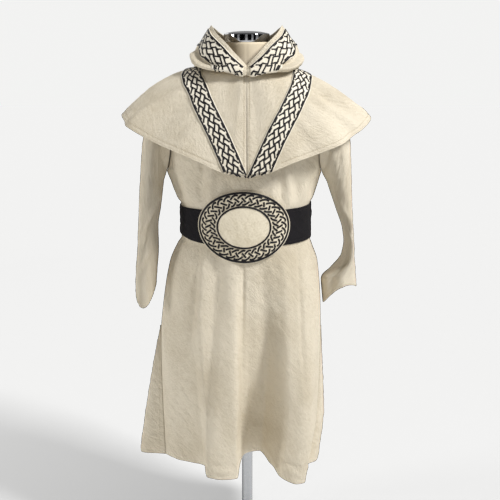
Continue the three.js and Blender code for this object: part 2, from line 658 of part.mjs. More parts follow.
// A point on the hood's section at a turn, by its distance up the section from the neck seam (0)
// to the rim (1).
function hoodSection(turn) {
  const off = Math.abs(turn);
  const at = (name) => column(HOOD_SECTIONS, "turn", name, off);
  const [across, forward] = [Math.sin(radians(turn)), Math.cos(radians(turn))];
  const place = (out, z) =>
    new THREE.Vector3(out * across, CAPE_NECK.y - out * forward, z);
  const onCapeAt = (out) => capeHeight(turn, out);
  const seam = capePoint(turn, 0);
  seam.add(new THREE.Vector3(across, -forward, 1).multiplyScalar(2 * REST_GAP));
  const nearOut = (CAPE_NECK.deep + at("underOut")) / 2;
  const midOut = (at("underOut") + at("lowOut")) / 2;
  return new THREE.CatmullRomCurve3(
    [
      seam,
      place(nearOut, onCapeAt(nearOut) + 0.85 * at("underLift")),
      place(at("underOut"), onCapeAt(at("underOut")) + at("underLift")),
      place(midOut, onCapeAt(midOut) + (at("underLift") + at("lowLift")) / 2),
      place(at("lowOut"), onCapeAt(at("lowOut")) + at("lowLift")),
      place(at("bellyOut"), at("bellyZ")),
      place(at("sideOut"), at("sideZ")),
      place(at("rimOut"), at("rimZ")),
    ],
    false,
    "centripetal",
  );
}

const HOOD_SHARES = [0, 0.07, 0.15, 0.23, 0.3, 0.37, 0.44, 0.52, 0.61, 0.71, 0.81, 0.9, 1];
const HOOD_TURNS = [CENTRE_GAP, 5, 10, 17, 24, 32, 40, 49, 58, 67, 76, 86, 97, 108, 120, 131, 142, 151, 160, 170, 180 - CENTRE_GAP];

const hoodTurns = (sign) => (sign < 0 ? HOOD_TURNS.map((turn) => -turn).reverse() : HOOD_TURNS);

function hoodHalf(sign) {
  const sections = hoodTurns(sign).map(hoodSection);
  return wallGeometry(HOOD_SHARES.map((share) => sections.map((section) => section.getPointAt(share))));
}

// The cosine of the face edge's slope at a turn.
function rimLevelness(turn) {
  const rim = (at) => hoodSection(at).getPointAt(1);
  const step = rim(turn + 1).sub(rim(turn - 1));
  return Math.hypot(step.x, step.y) / step.length();
}

// The ribbon along the hood's face edge, its width square to that edge. Where the standing cloth is
// lower than that, the ribbon stops at the fold.
function hoodTrim(sign) {
  const turns = hoodTurns(sign);
  const sections = turns.map(hoodSection);
  const lengths = sections.map((section) => section.getLength());
  const rows = [0, 0.12, 0.26, 0.42, 0.6, 0.8, 1].map((rise) =>
    sections.map((section, j) => {
      const scale = 1 / (rimLevelness(turns[j]) * lengths[j]);
      const rim = 1 - HOOD_RIM_BINDING * Math.min(scale, 1.6 / lengths[j]);
      // The share of the section at which it turns under: at the front the neck seam cuts the ribbon.
      const fold = lerp(0.3, 0.52, ease((Math.abs(turns[j]) - 45) / 30));
      const foot = Math.max(fold, rim - TRIM_WIDTH * scale);
      return section.getPointAt(lerp(foot, rim, rise));
    }),
  );
  return wallGeometry(rows, { wall: TRIM_CLOTH, lift: RIBBON_GAP + TRIM_CLOTH });
}

// ---------- belt ----------
// A point of the belt's mid-height ring, a distance off the robe under it.
function beltPoint(turn, z, off) {
  const ring = robeRing(turn, 946);
  const normal = new THREE.Vector3(ring.x, ring.y, 0);
  const wide = column(ROBE_SECTIONS, "z", sideOf(turn), 946);
  const deep = column(ROBE_SECTIONS, "z", Math.cos(radians(turn)) > 0 ? "front" : "back", 946);
  normal.set(ring.x / wide ** 2, ring.y / deep ** 2, 0).normalize();
  return ring.setZ(z).addScaledVector(normal, off);
}

function beltBand() {
  const turns = turnsBetween(-180, 180, 48).slice(0, -1);
  const rows = [0, 1].map((rise) =>
    turns.map((turn) => {
      const z = lerp(column(BELT_EDGES, "turn", "foot", turn), column(BELT_EDGES, "turn", "top", turn), rise);
      return beltPoint(turn, z, REST_GAP + BELT_CLOTH);
    }),
  );
  return wallGeometry(rows, { wall: BELT_CLOTH, closed: true });
}

// The oval plaque, bent round the belt's front: columns close up towards its pointed sides.
function beltPlaque() {
  const columns = 16;
  const wide = (x) => column(ROBE_SECTIONS, "z", x < 0 ? "left" : "right", 946);
  const rows = [-1, -0.68, -0.34, 0, 0.34, 0.68, 1].map((rise) =>
    Array.from({ length: columns + 1 }, (_, j) => {
      const around = lerp(Math.PI * 0.985, Math.PI * 0.015, j / columns);
      const x = PLAQUE.x + PLAQUE.halfWide * Math.cos(around);
      const z = PLAQUE.z + PLAQUE.halfHigh * Math.sin(around) * rise;
      const turn = (Math.asin(x / wide(x)) * 180) / Math.PI;
      return beltPoint(turn, z, REST_GAP + BELT_CLOTH + SEAM_GAP + PLAQUE.cloth);
    }),
  );
  return wallGeometry(rows, { wall: PLAQUE.cloth });
}

// ---------- dress form and stand ----------
function formBody() {
  const spokes = 24;
  const levels = [720, 728, 770, 850, 946, 1040, 1130, 1200, 1250, 1278, 1293, 1303, 1313, 1323, 1331, 1343, 1366, 1397];
  const rings = levels.map((z, k) =>
    Array.from({ length: spokes }, (_, j) => {
      const around = (2 * Math.PI * j) / spokes;
      const shrink = k === 0 ? 0.955 : 1;
      const power = 2 / column(FORM_SECTIONS, "z", "round", z);
      const [across, forward] = [Math.sin(around), Math.cos(around)].map(
        (share) => Math.sign(share) * Math.abs(share) ** power * shrink,
      );
      const deep = column(FORM_SECTIONS, "z", forward > 0 ? "front" : "back", z);
      return new THREE.Vector3(column(FORM_SECTIONS, "z", "wide", z) * across, -deep * forward, z);
    }),
  );
  return loftGeometry(rings);
}

// A solid turned about +Z from [radius, height] pairs, given from the bottom of the axis to its top.
function turned(profile, segments = 32) {
  const geometry = new THREE.LatheGeometry(
    profile.map(([radius, height]) => new THREE.Vector2(radius, height)),
    segments,
  );
  return geometry.rotateX(Math.PI / 2);
}

function neckCap() {
  const foot = FORM_SECTIONS.at(-1).z + SEAM_GAP;
  const top = foot + CAP.edge;
  return turned([
    [0, foot],
    [CAP.radius - 1.5, foot],
    [CAP.radius, foot + 1.5],
    [CAP.radius, top - 2],
    [CAP.radius - 2, top],
    [CAP.radius * 0.6, top + CAP.dome * 0.7],
    [0, top + CAP.dome],
  ]);
}

function standPole() {
  const foot = BASE.thick + BASE.collarHigh + SEAM_GAP;
  const top = FORM_SECTIONS[0].z - SEAM_GAP;
  return turned(
    [
      [0, foot],
      [POLE.radius, foot],
      [POLE.radius, top - POLE.flangeThick],
      [POLE.flange, top - POLE.flangeThick],
      [POLE.flange, top],
      [0, top],
    ],
    32,
  );
}

function standBase() {
  return turned([
    [0, 0],
    [BASE.radius - BASE.round, 0],
    [BASE.radius, BASE.round],
    [BASE.radius, BASE.thick - BASE.round],
    [BASE.radius - BASE.round, BASE.thick],
    [BASE.collar + 6, BASE.thick],
    [BASE.collar, BASE.thick + 6],
    [BASE.collar, BASE.thick + BASE.collarHigh - 2],
    [BASE.collar - 2, BASE.thick + BASE.collarHigh],
    [0, BASE.thick + BASE.collarHigh],
  ]);
}

// ---------- the object ----------
const FINISHES = {
  linen: { color: 0xd9cfba, roughness: 0.92, metalness: 0 },
  ribbon: { color: 0xe9e2d2, roughness: 0.8, metalness: 0 },
  belt: { color: 0x1b191c, roughness: 0.85, metalness: 0 },
  form: { color: 0xe3d3b4, roughness: 0.75, metalness: 0 },
  metal: { color: 0xb9bbbf, roughness: 0.2, metalness: 1 },
};

const object = new THREE.Group();

function add(name, finish, geometry) {
  const mesh = new THREE.Mesh(geometry, new THREE.MeshStandardMaterial(FINISHES[finish]));
  mesh.name = name;
  object.add(mesh);
}

add("robe_front", "linen", robePanel("front", FRONT_FOLDS, 30));
add("robe_back", "linen", robePanel("back", BACK_FOLDS, 24));
add("gore_left", "linen", gorePanel("left", LEFT_GORE_HEM));
add("gore_right", "linen", gorePanel("right", RIGHT_GORE_HEM));
add("sleeve_left", "linen", sleeveGeometry("left", LEFT_SLEEVE));
add("sleeve_right", "linen", sleeveGeometry("right", RIGHT_SLEEVE));
for (const [side, sign] of [["left", -1], ["right", 1]]) {
  add(`yoke_${side}`, "linen", yokePanel(sign));
  add(`cape_${side}`, "linen", capeSide(sign));
  add(`cape_trim_${side}`, "ribbon", capeTrim(sign));
  add(`hood_${side}`, "linen", hoodHalf(sign));
  add(`hood_trim_${side}`, "ribbon", hoodTrim(sign));
}
add("belt_band", "belt", beltBand());
add("belt_plaque", "ribbon", beltPlaque());
add("form_body", "form", formBody());
add("neck_cap", "metal", neckCap());
add("stand_pole", "metal", standPole());
add("stand_base", "metal", standBase());

export default object;
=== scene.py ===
"""A druid's robe with a hooded shoulder cape, knotwork ribbons and a belt, on a dress form.

All sizes are in millimetres until a mesh is made, with +Z up and the front facing -Y. The cloth
pieces are thin closed shells on the forms of their solids, with finer folds, hems and stitching.
"""

from __future__ import annotations

import logging
import math
from collections.abc import Callable, Sequence
from dataclasses import dataclass, field
from enum import Enum

import bmesh
import bpy
import numpy as np
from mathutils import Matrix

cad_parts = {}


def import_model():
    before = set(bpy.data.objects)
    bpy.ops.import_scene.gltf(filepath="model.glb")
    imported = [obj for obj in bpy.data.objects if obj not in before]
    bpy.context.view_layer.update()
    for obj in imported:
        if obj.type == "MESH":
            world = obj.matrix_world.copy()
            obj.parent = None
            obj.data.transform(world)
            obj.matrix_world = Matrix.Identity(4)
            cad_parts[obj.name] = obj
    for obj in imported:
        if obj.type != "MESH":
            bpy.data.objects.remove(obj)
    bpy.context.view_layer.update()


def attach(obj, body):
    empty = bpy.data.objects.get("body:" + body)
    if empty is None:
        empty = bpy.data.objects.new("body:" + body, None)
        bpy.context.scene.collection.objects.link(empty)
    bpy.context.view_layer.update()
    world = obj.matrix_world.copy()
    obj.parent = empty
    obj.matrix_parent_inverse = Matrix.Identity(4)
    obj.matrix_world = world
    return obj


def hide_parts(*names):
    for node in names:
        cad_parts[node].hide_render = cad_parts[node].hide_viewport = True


log = logging.getLogger("robe")
Array = np.ndarray

MM = 0.001
CLOTH = 2.0  # wall of the linen
SEAM_GAP = 0.3  # between two sewn pieces
REST_GAP = 0.5  # between a piece and the one it lies on
RIBBON_GAP = 0.8  # between a ribbon and the cloth that it is sewn to
HEM_Z = 300.0
ARMPIT_Z = 1075.0
SHOULDER_TIP = {"z": 1296.0, "left": 192.0, "right": 190.0}
NECK_SIDE = {"x": 80.0, "z": 1334.0}
GORE_TOP_Z = 660.0
FOLD_TOP_Z = 858.0
TRIM_WIDTH = 52.0
TRIM_CLOTH = 1.2
CENTRE_GAP = 0.12  # degrees beside a seam in the middle plane
BELT_Z = 946.0  # where the belt's ring is measured
HEM_ROWS = HEM_Z + np.array([0, 1, 3, 8, 10, 12, 14])  # close rows over the hem's turn-up
HEM_STITCH_Z = HEM_Z + 9
SIGNS = {"left": -1, "right": 1}


# ---------------------------------------------------------------- numbers
def lerp(a: Array | float, b: Array | float, t: Array | float) -> Array | float:
    """Blend a and b by t."""
    return a + (b - a) * t


def clamp01(t: Array | float) -> Array:
    """Limit t to 0 to 1."""
    return np.clip(t, 0.0, 1.0)


def ease(t: Array | float) -> Array:
    """Run smoothly from 0 to 1 as t does."""
    t = clamp01(t)
    return t * t * (3 - 2 * t)


def stack(x: Array | float, y: Array | float, z: Array | float) -> Array:
    """Join coordinates that broadcast together into an array of points."""
    return np.stack(np.broadcast_arrays(x, y, z), axis=-1).astype(float)


def unit(vectors: Array) -> Array:
    """Scale vectors to length 1."""
    return vectors / np.maximum(np.linalg.norm(vectors, axis=-1, keepdims=True), 1e-9)


def walk(line: Array) -> Array:
    """Measure how far each point of a line is along it."""
    steps = np.linalg.norm(np.diff(line, axis=0), axis=-1)
    return np.concatenate([[0], np.cumsum(steps)])


class Table:
    """A short table whose columns are read on smooth curves that never overshoot the rows."""

    def __init__(self, names: str, rows: Sequence[Sequence[float]]) -> None:
        """Keep the rows by column.

        Args:
            names: The columns' names, the key's first.
            rows: The rows, in order of the key.
        """
        self.names = names.split()
        self.columns = dict(zip(self.names, np.array(rows, float).T))

    def at(self, name: str, where: Array | float) -> Array:
        """Read one column at key values.

        Args:
            name: The column's name.
            where: The key's values.

        Returns:
            The column's values there.
        """
        xs, ys = self.columns[self.names[0]], self.columns[name]
        where = np.clip(np.asarray(where, float), xs[0], xs[-1])
        i = np.clip(np.searchsorted(xs, where, side="left") - 1, 0, len(xs) - 2)
        slope = np.diff(ys) / np.diff(xs)
        product = slope[1:] * slope[:-1]
        total = slope[1:] + slope[:-1]
        inner = np.where(product > 0, 2 * product / np.where(total == 0, 1, total), 0.0)
        tangent = np.concatenate([slope[:1], inner, slope[-1:]])
        span = xs[i + 1] - xs[i]
        t = (where - xs[i]) / span
        h = t * t * (3 - 2 * t)
        bend = tangent[i] * t * (1 - t) ** 2 - tangent[i + 1] * t * t * (1 - t)
        return ys[i] * (1 - h) + ys[i + 1] * h + span * bend


def waves(rows: Sequence[Sequence[float]], turn: Array) -> Array:
    """Add up soft round waves.

    Args:
        rows: Each wave's turn, half width in degrees and depth.
        turn: Where to read them, in degrees.

    Returns:
        The summed depths.
    """
    turn = np.asarray(turn, float)
    total = np.zeros_like(turn)
    for centre, half, deep in rows:
        off = np.abs((turn - centre + 180) % 360 - 180) / (2 * half)
        total += np.where(off < 1, deep * np.cos(np.minimum(off, 1) * math.pi / 2) ** 2, 0)
    return total


def ripple(u: Array, v: Array, pitch: float, angle: float, spread: float, seed: int) -> Array:
    """Make an uneven field of crinkles, mostly in one direction.

    Args:
        u: Distance across the cloth, in mm.
        v: Distance along the cloth, in mm.
        pitch: The usual distance from crinkle to crinkle, in mm.
        angle: The direction across the crinkles, in degrees from u.
        spread: How far directions stray from that, in degrees.
        seed: Seed of the field's numbers.

    Returns:
        The field, mostly from -1 to 1.
    """
    rng = np.random.default_rng(seed)
    total = np.zeros(np.broadcast(u, v).shape)
    count = 18
    for _ in range(count):
        way = math.radians(angle + spread * rng.normal())
        wave = 2 * math.pi / (pitch * rng.uniform(0.6, 1.7))
        total += np.sin(wave * (u * math.cos(way) + v * math.sin(way)) + rng.uniform(0, 6.3))
    return total / math.sqrt(count / 2) / 1.6


@dataclass(frozen=True)
class Crease:
    """One soft ridge (or trough, if deep is below 0) between two places on a cloth."""

    start: tuple[float, float]
    end: tuple[float, float]
    half: float
    deep: float
    bow: float = 0.0

    def depth(self, a: Array, b: Array) -> Array:
        """Read the crease's depth.

        Args:
            a: The first coordinate that start and end are given in.
            b: The second one.

        Returns:
            The depth, largest along the middle of the crease.
        """
        (a0, b0), (a1, b1) = self.start, self.end
        run = math.hypot(a1 - a0, b1 - b0)
        ta, tb = (a1 - a0) / run, (b1 - b0) / run
        along = ((a - a0) * ta + (b - b0) * tb) / run
        off = -(a - a0) * tb + (b - b0) * ta - self.bow * (1 - (2 * along - 1) ** 2)
        end = ease(np.minimum(along + 0.18, 1.18 - along) / 0.36)
        return self.deep * end * np.exp(-((off / self.half) ** 2))


def crease_sum(creases: Sequence[Crease], a: Array, b: Array) -> Array:
    """Add up the depths of several creases at places a, b.

    Args:
        creases: The creases.
        a: The first coordinate of the places.
        b: The second one.

    Returns:
        The summed depths.
    """
    total = np.zeros(np.broadcast(a, b).shape)
    for crease in creases:
        total += crease.depth(a, b)
    return total


def curve_points(knots: Array, shares: Array) -> Array:
    """Read centripetal Catmull-Rom curves at shares of their lengths.

    Args:
        knots: The curves' points, curves by knots by 3.
        shares: Shares of each curve's length, one row for each curve.

    Returns:
        Points, curves by shares by 3, and the curves' lengths after them.
    """
    first = 2 * knots[:, :1] - knots[:, 1:2]
    last = 2 * knots[:, -1:] - knots[:, -2:-1]
    full = np.concatenate([first, knots, last], axis=1)
    steps = 28
    t = (np.arange(steps) / steps)[None, :, None]
    parts = []
    for k in range(knots.shape[1] - 1):
        p0, p1, p2, p3 = (full[:, k + m][:, None] for m in range(4))
        d0, d1, d2 = (
            np.linalg.norm(b - a, axis=-1, keepdims=True) ** 0.5
            for a, b in ((p0, p1), (p1, p2), (p2, p3))
        )
        m1 = ((p1 - p0) / d0 - (p2 - p0) / (d0 + d1) + (p2 - p1) / d1) * d1
        m2 = ((p2 - p1) / d1 - (p3 - p1) / (d1 + d2) + (p3 - p2) / d2) * d1
        h00, h10 = 2 * t**3 - 3 * t**2 + 1, t**3 - 2 * t**2 + t
        h01, h11 = -2 * t**3 + 3 * t**2, t**3 - t**2
        parts.append(h00 * p1 + h10 * m1 + h01 * p2 + h11 * m2)
    dense = np.concatenate([*parts, knots[:, -1:]], axis=1)
    walked = np.concatenate(
        [
            np.zeros((len(dense), 1)),
            np.cumsum(np.linalg.norm(np.diff(dense, axis=1), axis=-1), axis=1),
        ],
        axis=1,
    )
    out = np.zeros((len(knots), shares.shape[1], 3))
    for k in range(len(knots)):
        wanted = shares[k] * walked[k, -1]
        for axis in range(3):
            out[k, :, axis] = np.interp(wanted, walked[k], dense[k, :, axis])
    return out, walked[:, -1]


# ---------------------------------------------------------------- meshes
def grid_normals(grid: Array, closed: bool) -> Array:
    """Find the outward normals of a grid of points from its neighbours.

    Args:
        grid: Rows by columns by 3.
        closed: Whether the columns run all round.

    Returns:
        Unit normals, as many as points.
    """
    if closed:
        along = np.roll(grid, -1, axis=1) - np.roll(grid, 1, axis=1)
    else:
        along = np.concatenate([grid[:, 1:], grid[:, -1:]], 1) - np.concatenate(
            [grid[:, :1], grid[:, :-1]], 1
        )
    up = np.concatenate([grid[1:], grid[-1:]], 0) - np.concatenate([grid[:1], grid[:-1]], 0)
    normals = np.cross(along, up)
    if not closed:  # a seam in the middle planes stands in the plane
        for axis in (0, 1):
            normals[..., axis] = np.where(np.abs(grid[..., axis]) < 1, 0, normals[..., axis])
    return unit(normals)


def cloth_places(grid: Array, closed: bool) -> Array:
    """Measure each point's place on the cloth, across and along, in mm.

    Args:
        grid: The grid's points, rows by columns by 3.
        closed: Whether the columns run all round.

    Returns:
        The places, rows by columns by 2.
    """
    row = grid[len(grid) // 2]
    nxt = np.roll(row, -1, axis=0) if closed else row[1:]
    here = row if closed else row[:-1]
    steps = np.linalg.norm(nxt - here, axis=-1)
    across = np.concatenate([[0], np.cumsum(steps)])
    cols = grid.shape[1]
    down = np.linalg.norm(np.diff(grid, axis=0), axis=-1)
    along = np.concatenate([np.zeros((1, cols)), np.cumsum(down, axis=0)], axis=0)
    if closed:
        along = np.concatenate([along, along[:, :1]], axis=1)
    return np.stack(np.broadcast_arrays(across[None, :], along), axis=-1)


def make_object(
    name: str,
    vertices: Array,
    faces: Sequence[Sequence[int]] | Array,
    finish: bpy.types.Material,
    uvs: Array | None = None,
) -> bpy.types.Object:
    """Make a smooth-shaded mesh object at the origin.

    Args:
        name: The object's name.
        vertices: Points in mm.
        faces: Vertex numbers of each face.
        finish: The object's material.
        uvs: The place on the cloth of each face corner, in mm.

    Returns:
        The object, linked to the scene.
    """
    mesh = bpy.data.meshes.new(name)
    faces = np.asarray(faces, int)
    mesh.vertices.add(len(vertices))
    mesh.vertices.foreach_set("co", (np.asarray(vertices, float) * MM).ravel())
    sides = faces.shape[1]
    mesh.loops.add(faces.size)
    mesh.loops.foreach_set("vertex_index", faces.ravel())
    mesh.polygons.add(len(faces))
    mesh.polygons.foreach_set("loop_start", np.arange(len(faces)) * sides)
    mesh.polygons.foreach_set("use_smooth", np.ones(len(faces), bool))
    if uvs is not None:
        layer = mesh.uv_layers.new(name="cloth")
        layer.data.foreach_set("uv", np.asarray(uvs, float).ravel())
    mesh.materials.append(finish)
    mesh.update()
    mesh.validate()
    made = bpy.data.objects.new(name, mesh)
    bpy.context.scene.collection.objects.link(made)
    return made


def wall_object(
    name: str,
    grid: Array,
    finish: bpy.types.Material,
    wall: float | Array = CLOTH,
    lift: float | Array = 0.0,
    closed: bool = False,
    turned: bool = False,
) -> bpy.types.Object:
    """Make a closed wall of cloth from a grid of points.

    Args:
        name: The object's name.
        grid: The outer skin's points before the lift, rows by columns by 3.
        finish: The cloth's material.
        wall: The cloth's thickness, one number or one for each point.
        lift: How far the outer skin stands off the grid.
        closed: Whether the columns run all round.
        turned: Whether the grid's order makes its normals point inwards.

    Returns:
        The object.
    """
    if turned:
        grid = grid[:, ::-1]
        wall = wall[:, ::-1] if isinstance(wall, np.ndarray) else wall
        lift = lift[:, ::-1] if isinstance(lift, np.ndarray) else lift
    rows, cols = grid.shape[:2]
    normals = grid_normals(grid, closed)
    wall = np.broadcast_to(wall, (rows, cols))[..., None]
    lift = np.broadcast_to(lift, (rows, cols))[..., None]
    skins = [grid + normals * lift, grid + normals * (lift - wall)]
    count = rows * cols
    number = np.arange(count).reshape(rows, cols)
    if closed:
        number = np.concatenate([number, number[:, :1]], axis=1)
    places = cloth_places(grid, closed)
    a, b, c, d = number[:-1, :-1], number[:-1, 1:], number[1:, 1:], number[1:, :-1]
    ua, ub, uc, ud = places[:-1, :-1], places[:-1, 1:], places[1:, 1:], places[1:, :-1]
    outer = np.stack([a, b, c, d], -1).reshape(-1, 4)
    outer_uv = np.stack([ua, ub, uc, ud], -2).reshape(-1, 4, 2)
    inner = np.stack([a, d, c, b], -1).reshape(-1, 4) + count
    inner_uv = np.stack([ua, ud, uc, ub], -2).reshape(-1, 4, 2)
    faces, uvs = [outer, inner], [outer_uv, inner_uv]

    def rim(line: Array, place: Array) -> None:
        """Close the two skins along one edge.

        Args:
            line: The vertex numbers along the edge.
            place: Their places on the cloth.
        """
        p, q = line[:-1], line[1:]
        faces.append(np.stack([p, p + count, q + count, q], -1))
        uvs.append(np.stack([place[:-1], place[:-1], place[1:], place[1:]], -2))

    rim(number[0], places[0])
    rim(number[-1][::-1], places[-1][::-1])
    if not closed:
        rim(number[:, 0][::-1], places[:, 0][::-1])
        rim(number[:, -1], places[:, -1])
    return make_object(
        name,
        np.concatenate([skin.reshape(-1, 3) for skin in skins]),
        np.concatenate(faces),
        finish,
        uvs=np.concatenate(uvs),
    )


class Threads:
    """Gathers raised strokes of thread, and makes them one mesh."""

    def __init__(self) -> None:
        """Start with no strokes."""
        self.vertices: list[Array] = []
        self.faces: list[Array] = []
        self.count = 0

    def stroke(
        self, points: Array, normals: Array, width: float, high: float, edge: float = 0.35
    ) -> None:
        """Add one stroke: a flat-topped closed ridge along points on a surface.

        Args:
            points: The stroke's middle line, on the surface.
            normals: The surface's normals there.
            width: The stroke's width.
            high: How far it stands up.
            edge: How far its top is drawn in from its foot.
        """
        if len(points) < 2:
            return
        run = unit(np.gradient(points, axis=0))
        side = unit(np.cross(run, normals))
        half = width / 2
        ring = [
            points - side * half - normals * 0.15,
            points - side * (half - edge) + normals * high,
            points + side * (half - edge) + normals * high,
            points + side * half - normals * 0.15,
        ]
        self.add(np.stack(ring, axis=1))

    def add(self, rings: Array) -> None:
        """Add a tube from rings of four points, closed at both ends.

        Args:
            rings: Stations by 4 by 3.
        """
        n = len(rings)
        at = np.arange(n * 4).reshape(n, 4)
        nxt = np.roll(at, -1, axis=1)
        skin = np.stack([at[:-1], nxt[:-1], nxt[1:], at[1:]], -1).reshape(-1, 4)
        ends = np.array([at[0][::-1], at[-1]])
        self.vertices.append(rings.reshape(-1, 3))
        self.faces.append(np.concatenate([skin, ends]) + self.count)
        self.count += n * 4

    def stitches(
        self, line: Array, normals: Array, length: float = 3.4, gap: float = 1.4, width: float = 0.9
    ) -> None:
        """Add a row of running stitches along a line on a surface.

        Args:
            line: The seam's points, in order.
            normals: The surface's normals there.
            length: One stitch's length.
            gap: The space between two stitches.
            width: The thread's width.
        """
        walked = walk(line)

        def read(at: Array) -> tuple[Array, Array]:
            """Read points and normals at distances along the line.

            Args:
                at: Distances along the line.

            Returns:
                The points and the unit normals.
            """
            both = [
                np.stack([np.interp(at, walked, values[:, k]) for k in range(3)], -1)
                for values in (line, normals)
            ]
            return both[0], unit(both[1])

        for start in np.arange(gap, walked[-1] - length, length + gap):
            points, norms = read(np.array([start, start + length / 2, start + length]))
            run = unit(points[-1:] - points[:1])
            side = unit(np.cross(run, norms))
            high = np.array([0.05, 0.45, 0.05])[:, None]
            half = np.array([0.3, 0.5, 0.3])[:, None] * width
            self.add(
                np.stack(
                    [
                        points - side * half - norms * 0.2,
                        points - side * half * 0.5 + norms * high,
                        points + side * half * 0.5 + norms * high,
                        points + side * half - norms * 0.2,
                    ],
                    axis=1,
                )
            )

    def finish(self, name: str, finish: bpy.types.Material, slot: str) -> bpy.types.Object:
        """Make the strokes one object that rides on the body.

        Args:
            name: The object's name.
            finish: The thread's material.
            slot: The slot of the cloth that it is sewn to; not used.

        Returns:
            The object.
        """
        vertices, faces = np.concatenate(self.vertices), np.concatenate(self.faces)
        made = make_object(name, vertices, faces, finish)
        turn_outwards(made)
        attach(made, "root")
        return made


def turn_outwards(made: bpy.types.Object) -> None:
    """Turn the faces of a closed mesh to point outwards.

    Args:
        made: The mesh object.
    """
    work = bmesh.new()
    work.from_mesh(made.data)
    bmesh.ops.recalc_face_normals(work, faces=work.faces)
    work.to_mesh(made.data)
    work.free()


# ---------------------------------------------------------------- finishes
def linear(colour: str) -> tuple[float, float, float, float]:
    """Turn an sRGB hex colour to linear values."""
    parts = [int(colour[k : k + 2], 16) / 255 for k in (0, 2, 4)]
    return (*[c / 12.92 if c <= 0.04045 else ((c + 0.055) / 1.055) ** 2.4 for c in parts], 1.0)


def feed(made: bpy.types.Node, inputs: dict) -> None:
    """Set or link a node's inputs.

    Args:
        made: The node.
        inputs: Values or sockets to link from, by the input's name or number.
    """
    for name, value in inputs.items():
        if isinstance(value, bpy.types.NodeSocket):
            made.id_data.links.new(value, made.inputs[name])
        else:
            made.inputs[name].default_value = value


def node(
    tree: bpy.types.NodeTree, kind: str, inputs: dict | None = None, **settings: object
) -> bpy.types.Node:
    """Add a node, with its settings, values and links.

    Args:
        tree: The node tree.
        kind: The node's type.
        inputs: Values or sockets to link from, by the input's name or number.
        settings: Attributes of the node.

    Returns:
        The node.
    """
    made = tree.nodes.new(kind)
    for name, value in settings.items():
        setattr(made, name, value)
    feed(made, inputs or {})
    return made


def noise(
    tree: bpy.types.NodeTree,
    place: bpy.types.NodeSocket,
    scale: float,
    detail: float,
    roughness: float = 0.5,
) -> bpy.types.NodeSocket:
    """Add a noise read at a place, and return its value."""
    inputs = {"Vector": place, "Scale": scale, "Detail": detail, "Roughness": roughness}
    return node(tree, "ShaderNodeTexNoise", inputs).outputs["Fac"]


def relief(
    tree: bpy.types.NodeTree,
    height: bpy.types.NodeSocket,
    distance: float,
    strength: float = 1.0,
    under: bpy.types.NodeSocket | None = None,
) -> bpy.types.NodeSocket:
    """Raise a surface by a height.

    Args:
        tree: The node tree.
        height: The height's values.
        distance: How many mm a height of 1 stands up.
        strength: How much of it shows.
        under: The normal of a relief that this one lies on.

    Returns:
        The normal.
    """
    inputs = {"Height": height, "Distance": distance * MM, "Strength": strength}
    if under:
        inputs["Normal"] = under
    return node(tree, "ShaderNodeBump", inputs).outputs["Normal"]


def shades(
    tree: bpy.types.NodeTree,
    share: bpy.types.NodeSocket,
    dark: Sequence[float],
    light: Sequence[float],
    ends: tuple[float, float] = (0.0, 1.0),
) -> bpy.types.NodeSocket:
    """Blend from a dark to a light colour.

    Args:
        tree: The node tree.
        share: The values to blend by.
        dark: The linear colour at the first end.
        light: The linear colour at the last end.
        ends: The values at which the blend starts and ends.

    Returns:
        The colour.
    """
    ramp = node(tree, "ShaderNodeValToRGB", {"Fac": share})
    for stop, position, colour in zip(ramp.color_ramp.elements, ends, (dark, light)):
        stop.position, stop.color = position, colour
    return ramp.outputs["Color"]


def new_material(name: str) -> tuple[bpy.types.Material, bpy.types.NodeTree, bpy.types.Node]:
    """Make a node material with a bare Principled shader.

    Args:
        name: The material's name.

    Returns:
        The material, its node tree and its shader.
    """
    material = bpy.data.materials.new(name)
    material.use_nodes = True
    tree = material.node_tree
    return material, tree, tree.nodes["Principled BSDF"]


WAVE_SCALE = 0.314  # scale of a wave texture whose bands are 1 apart


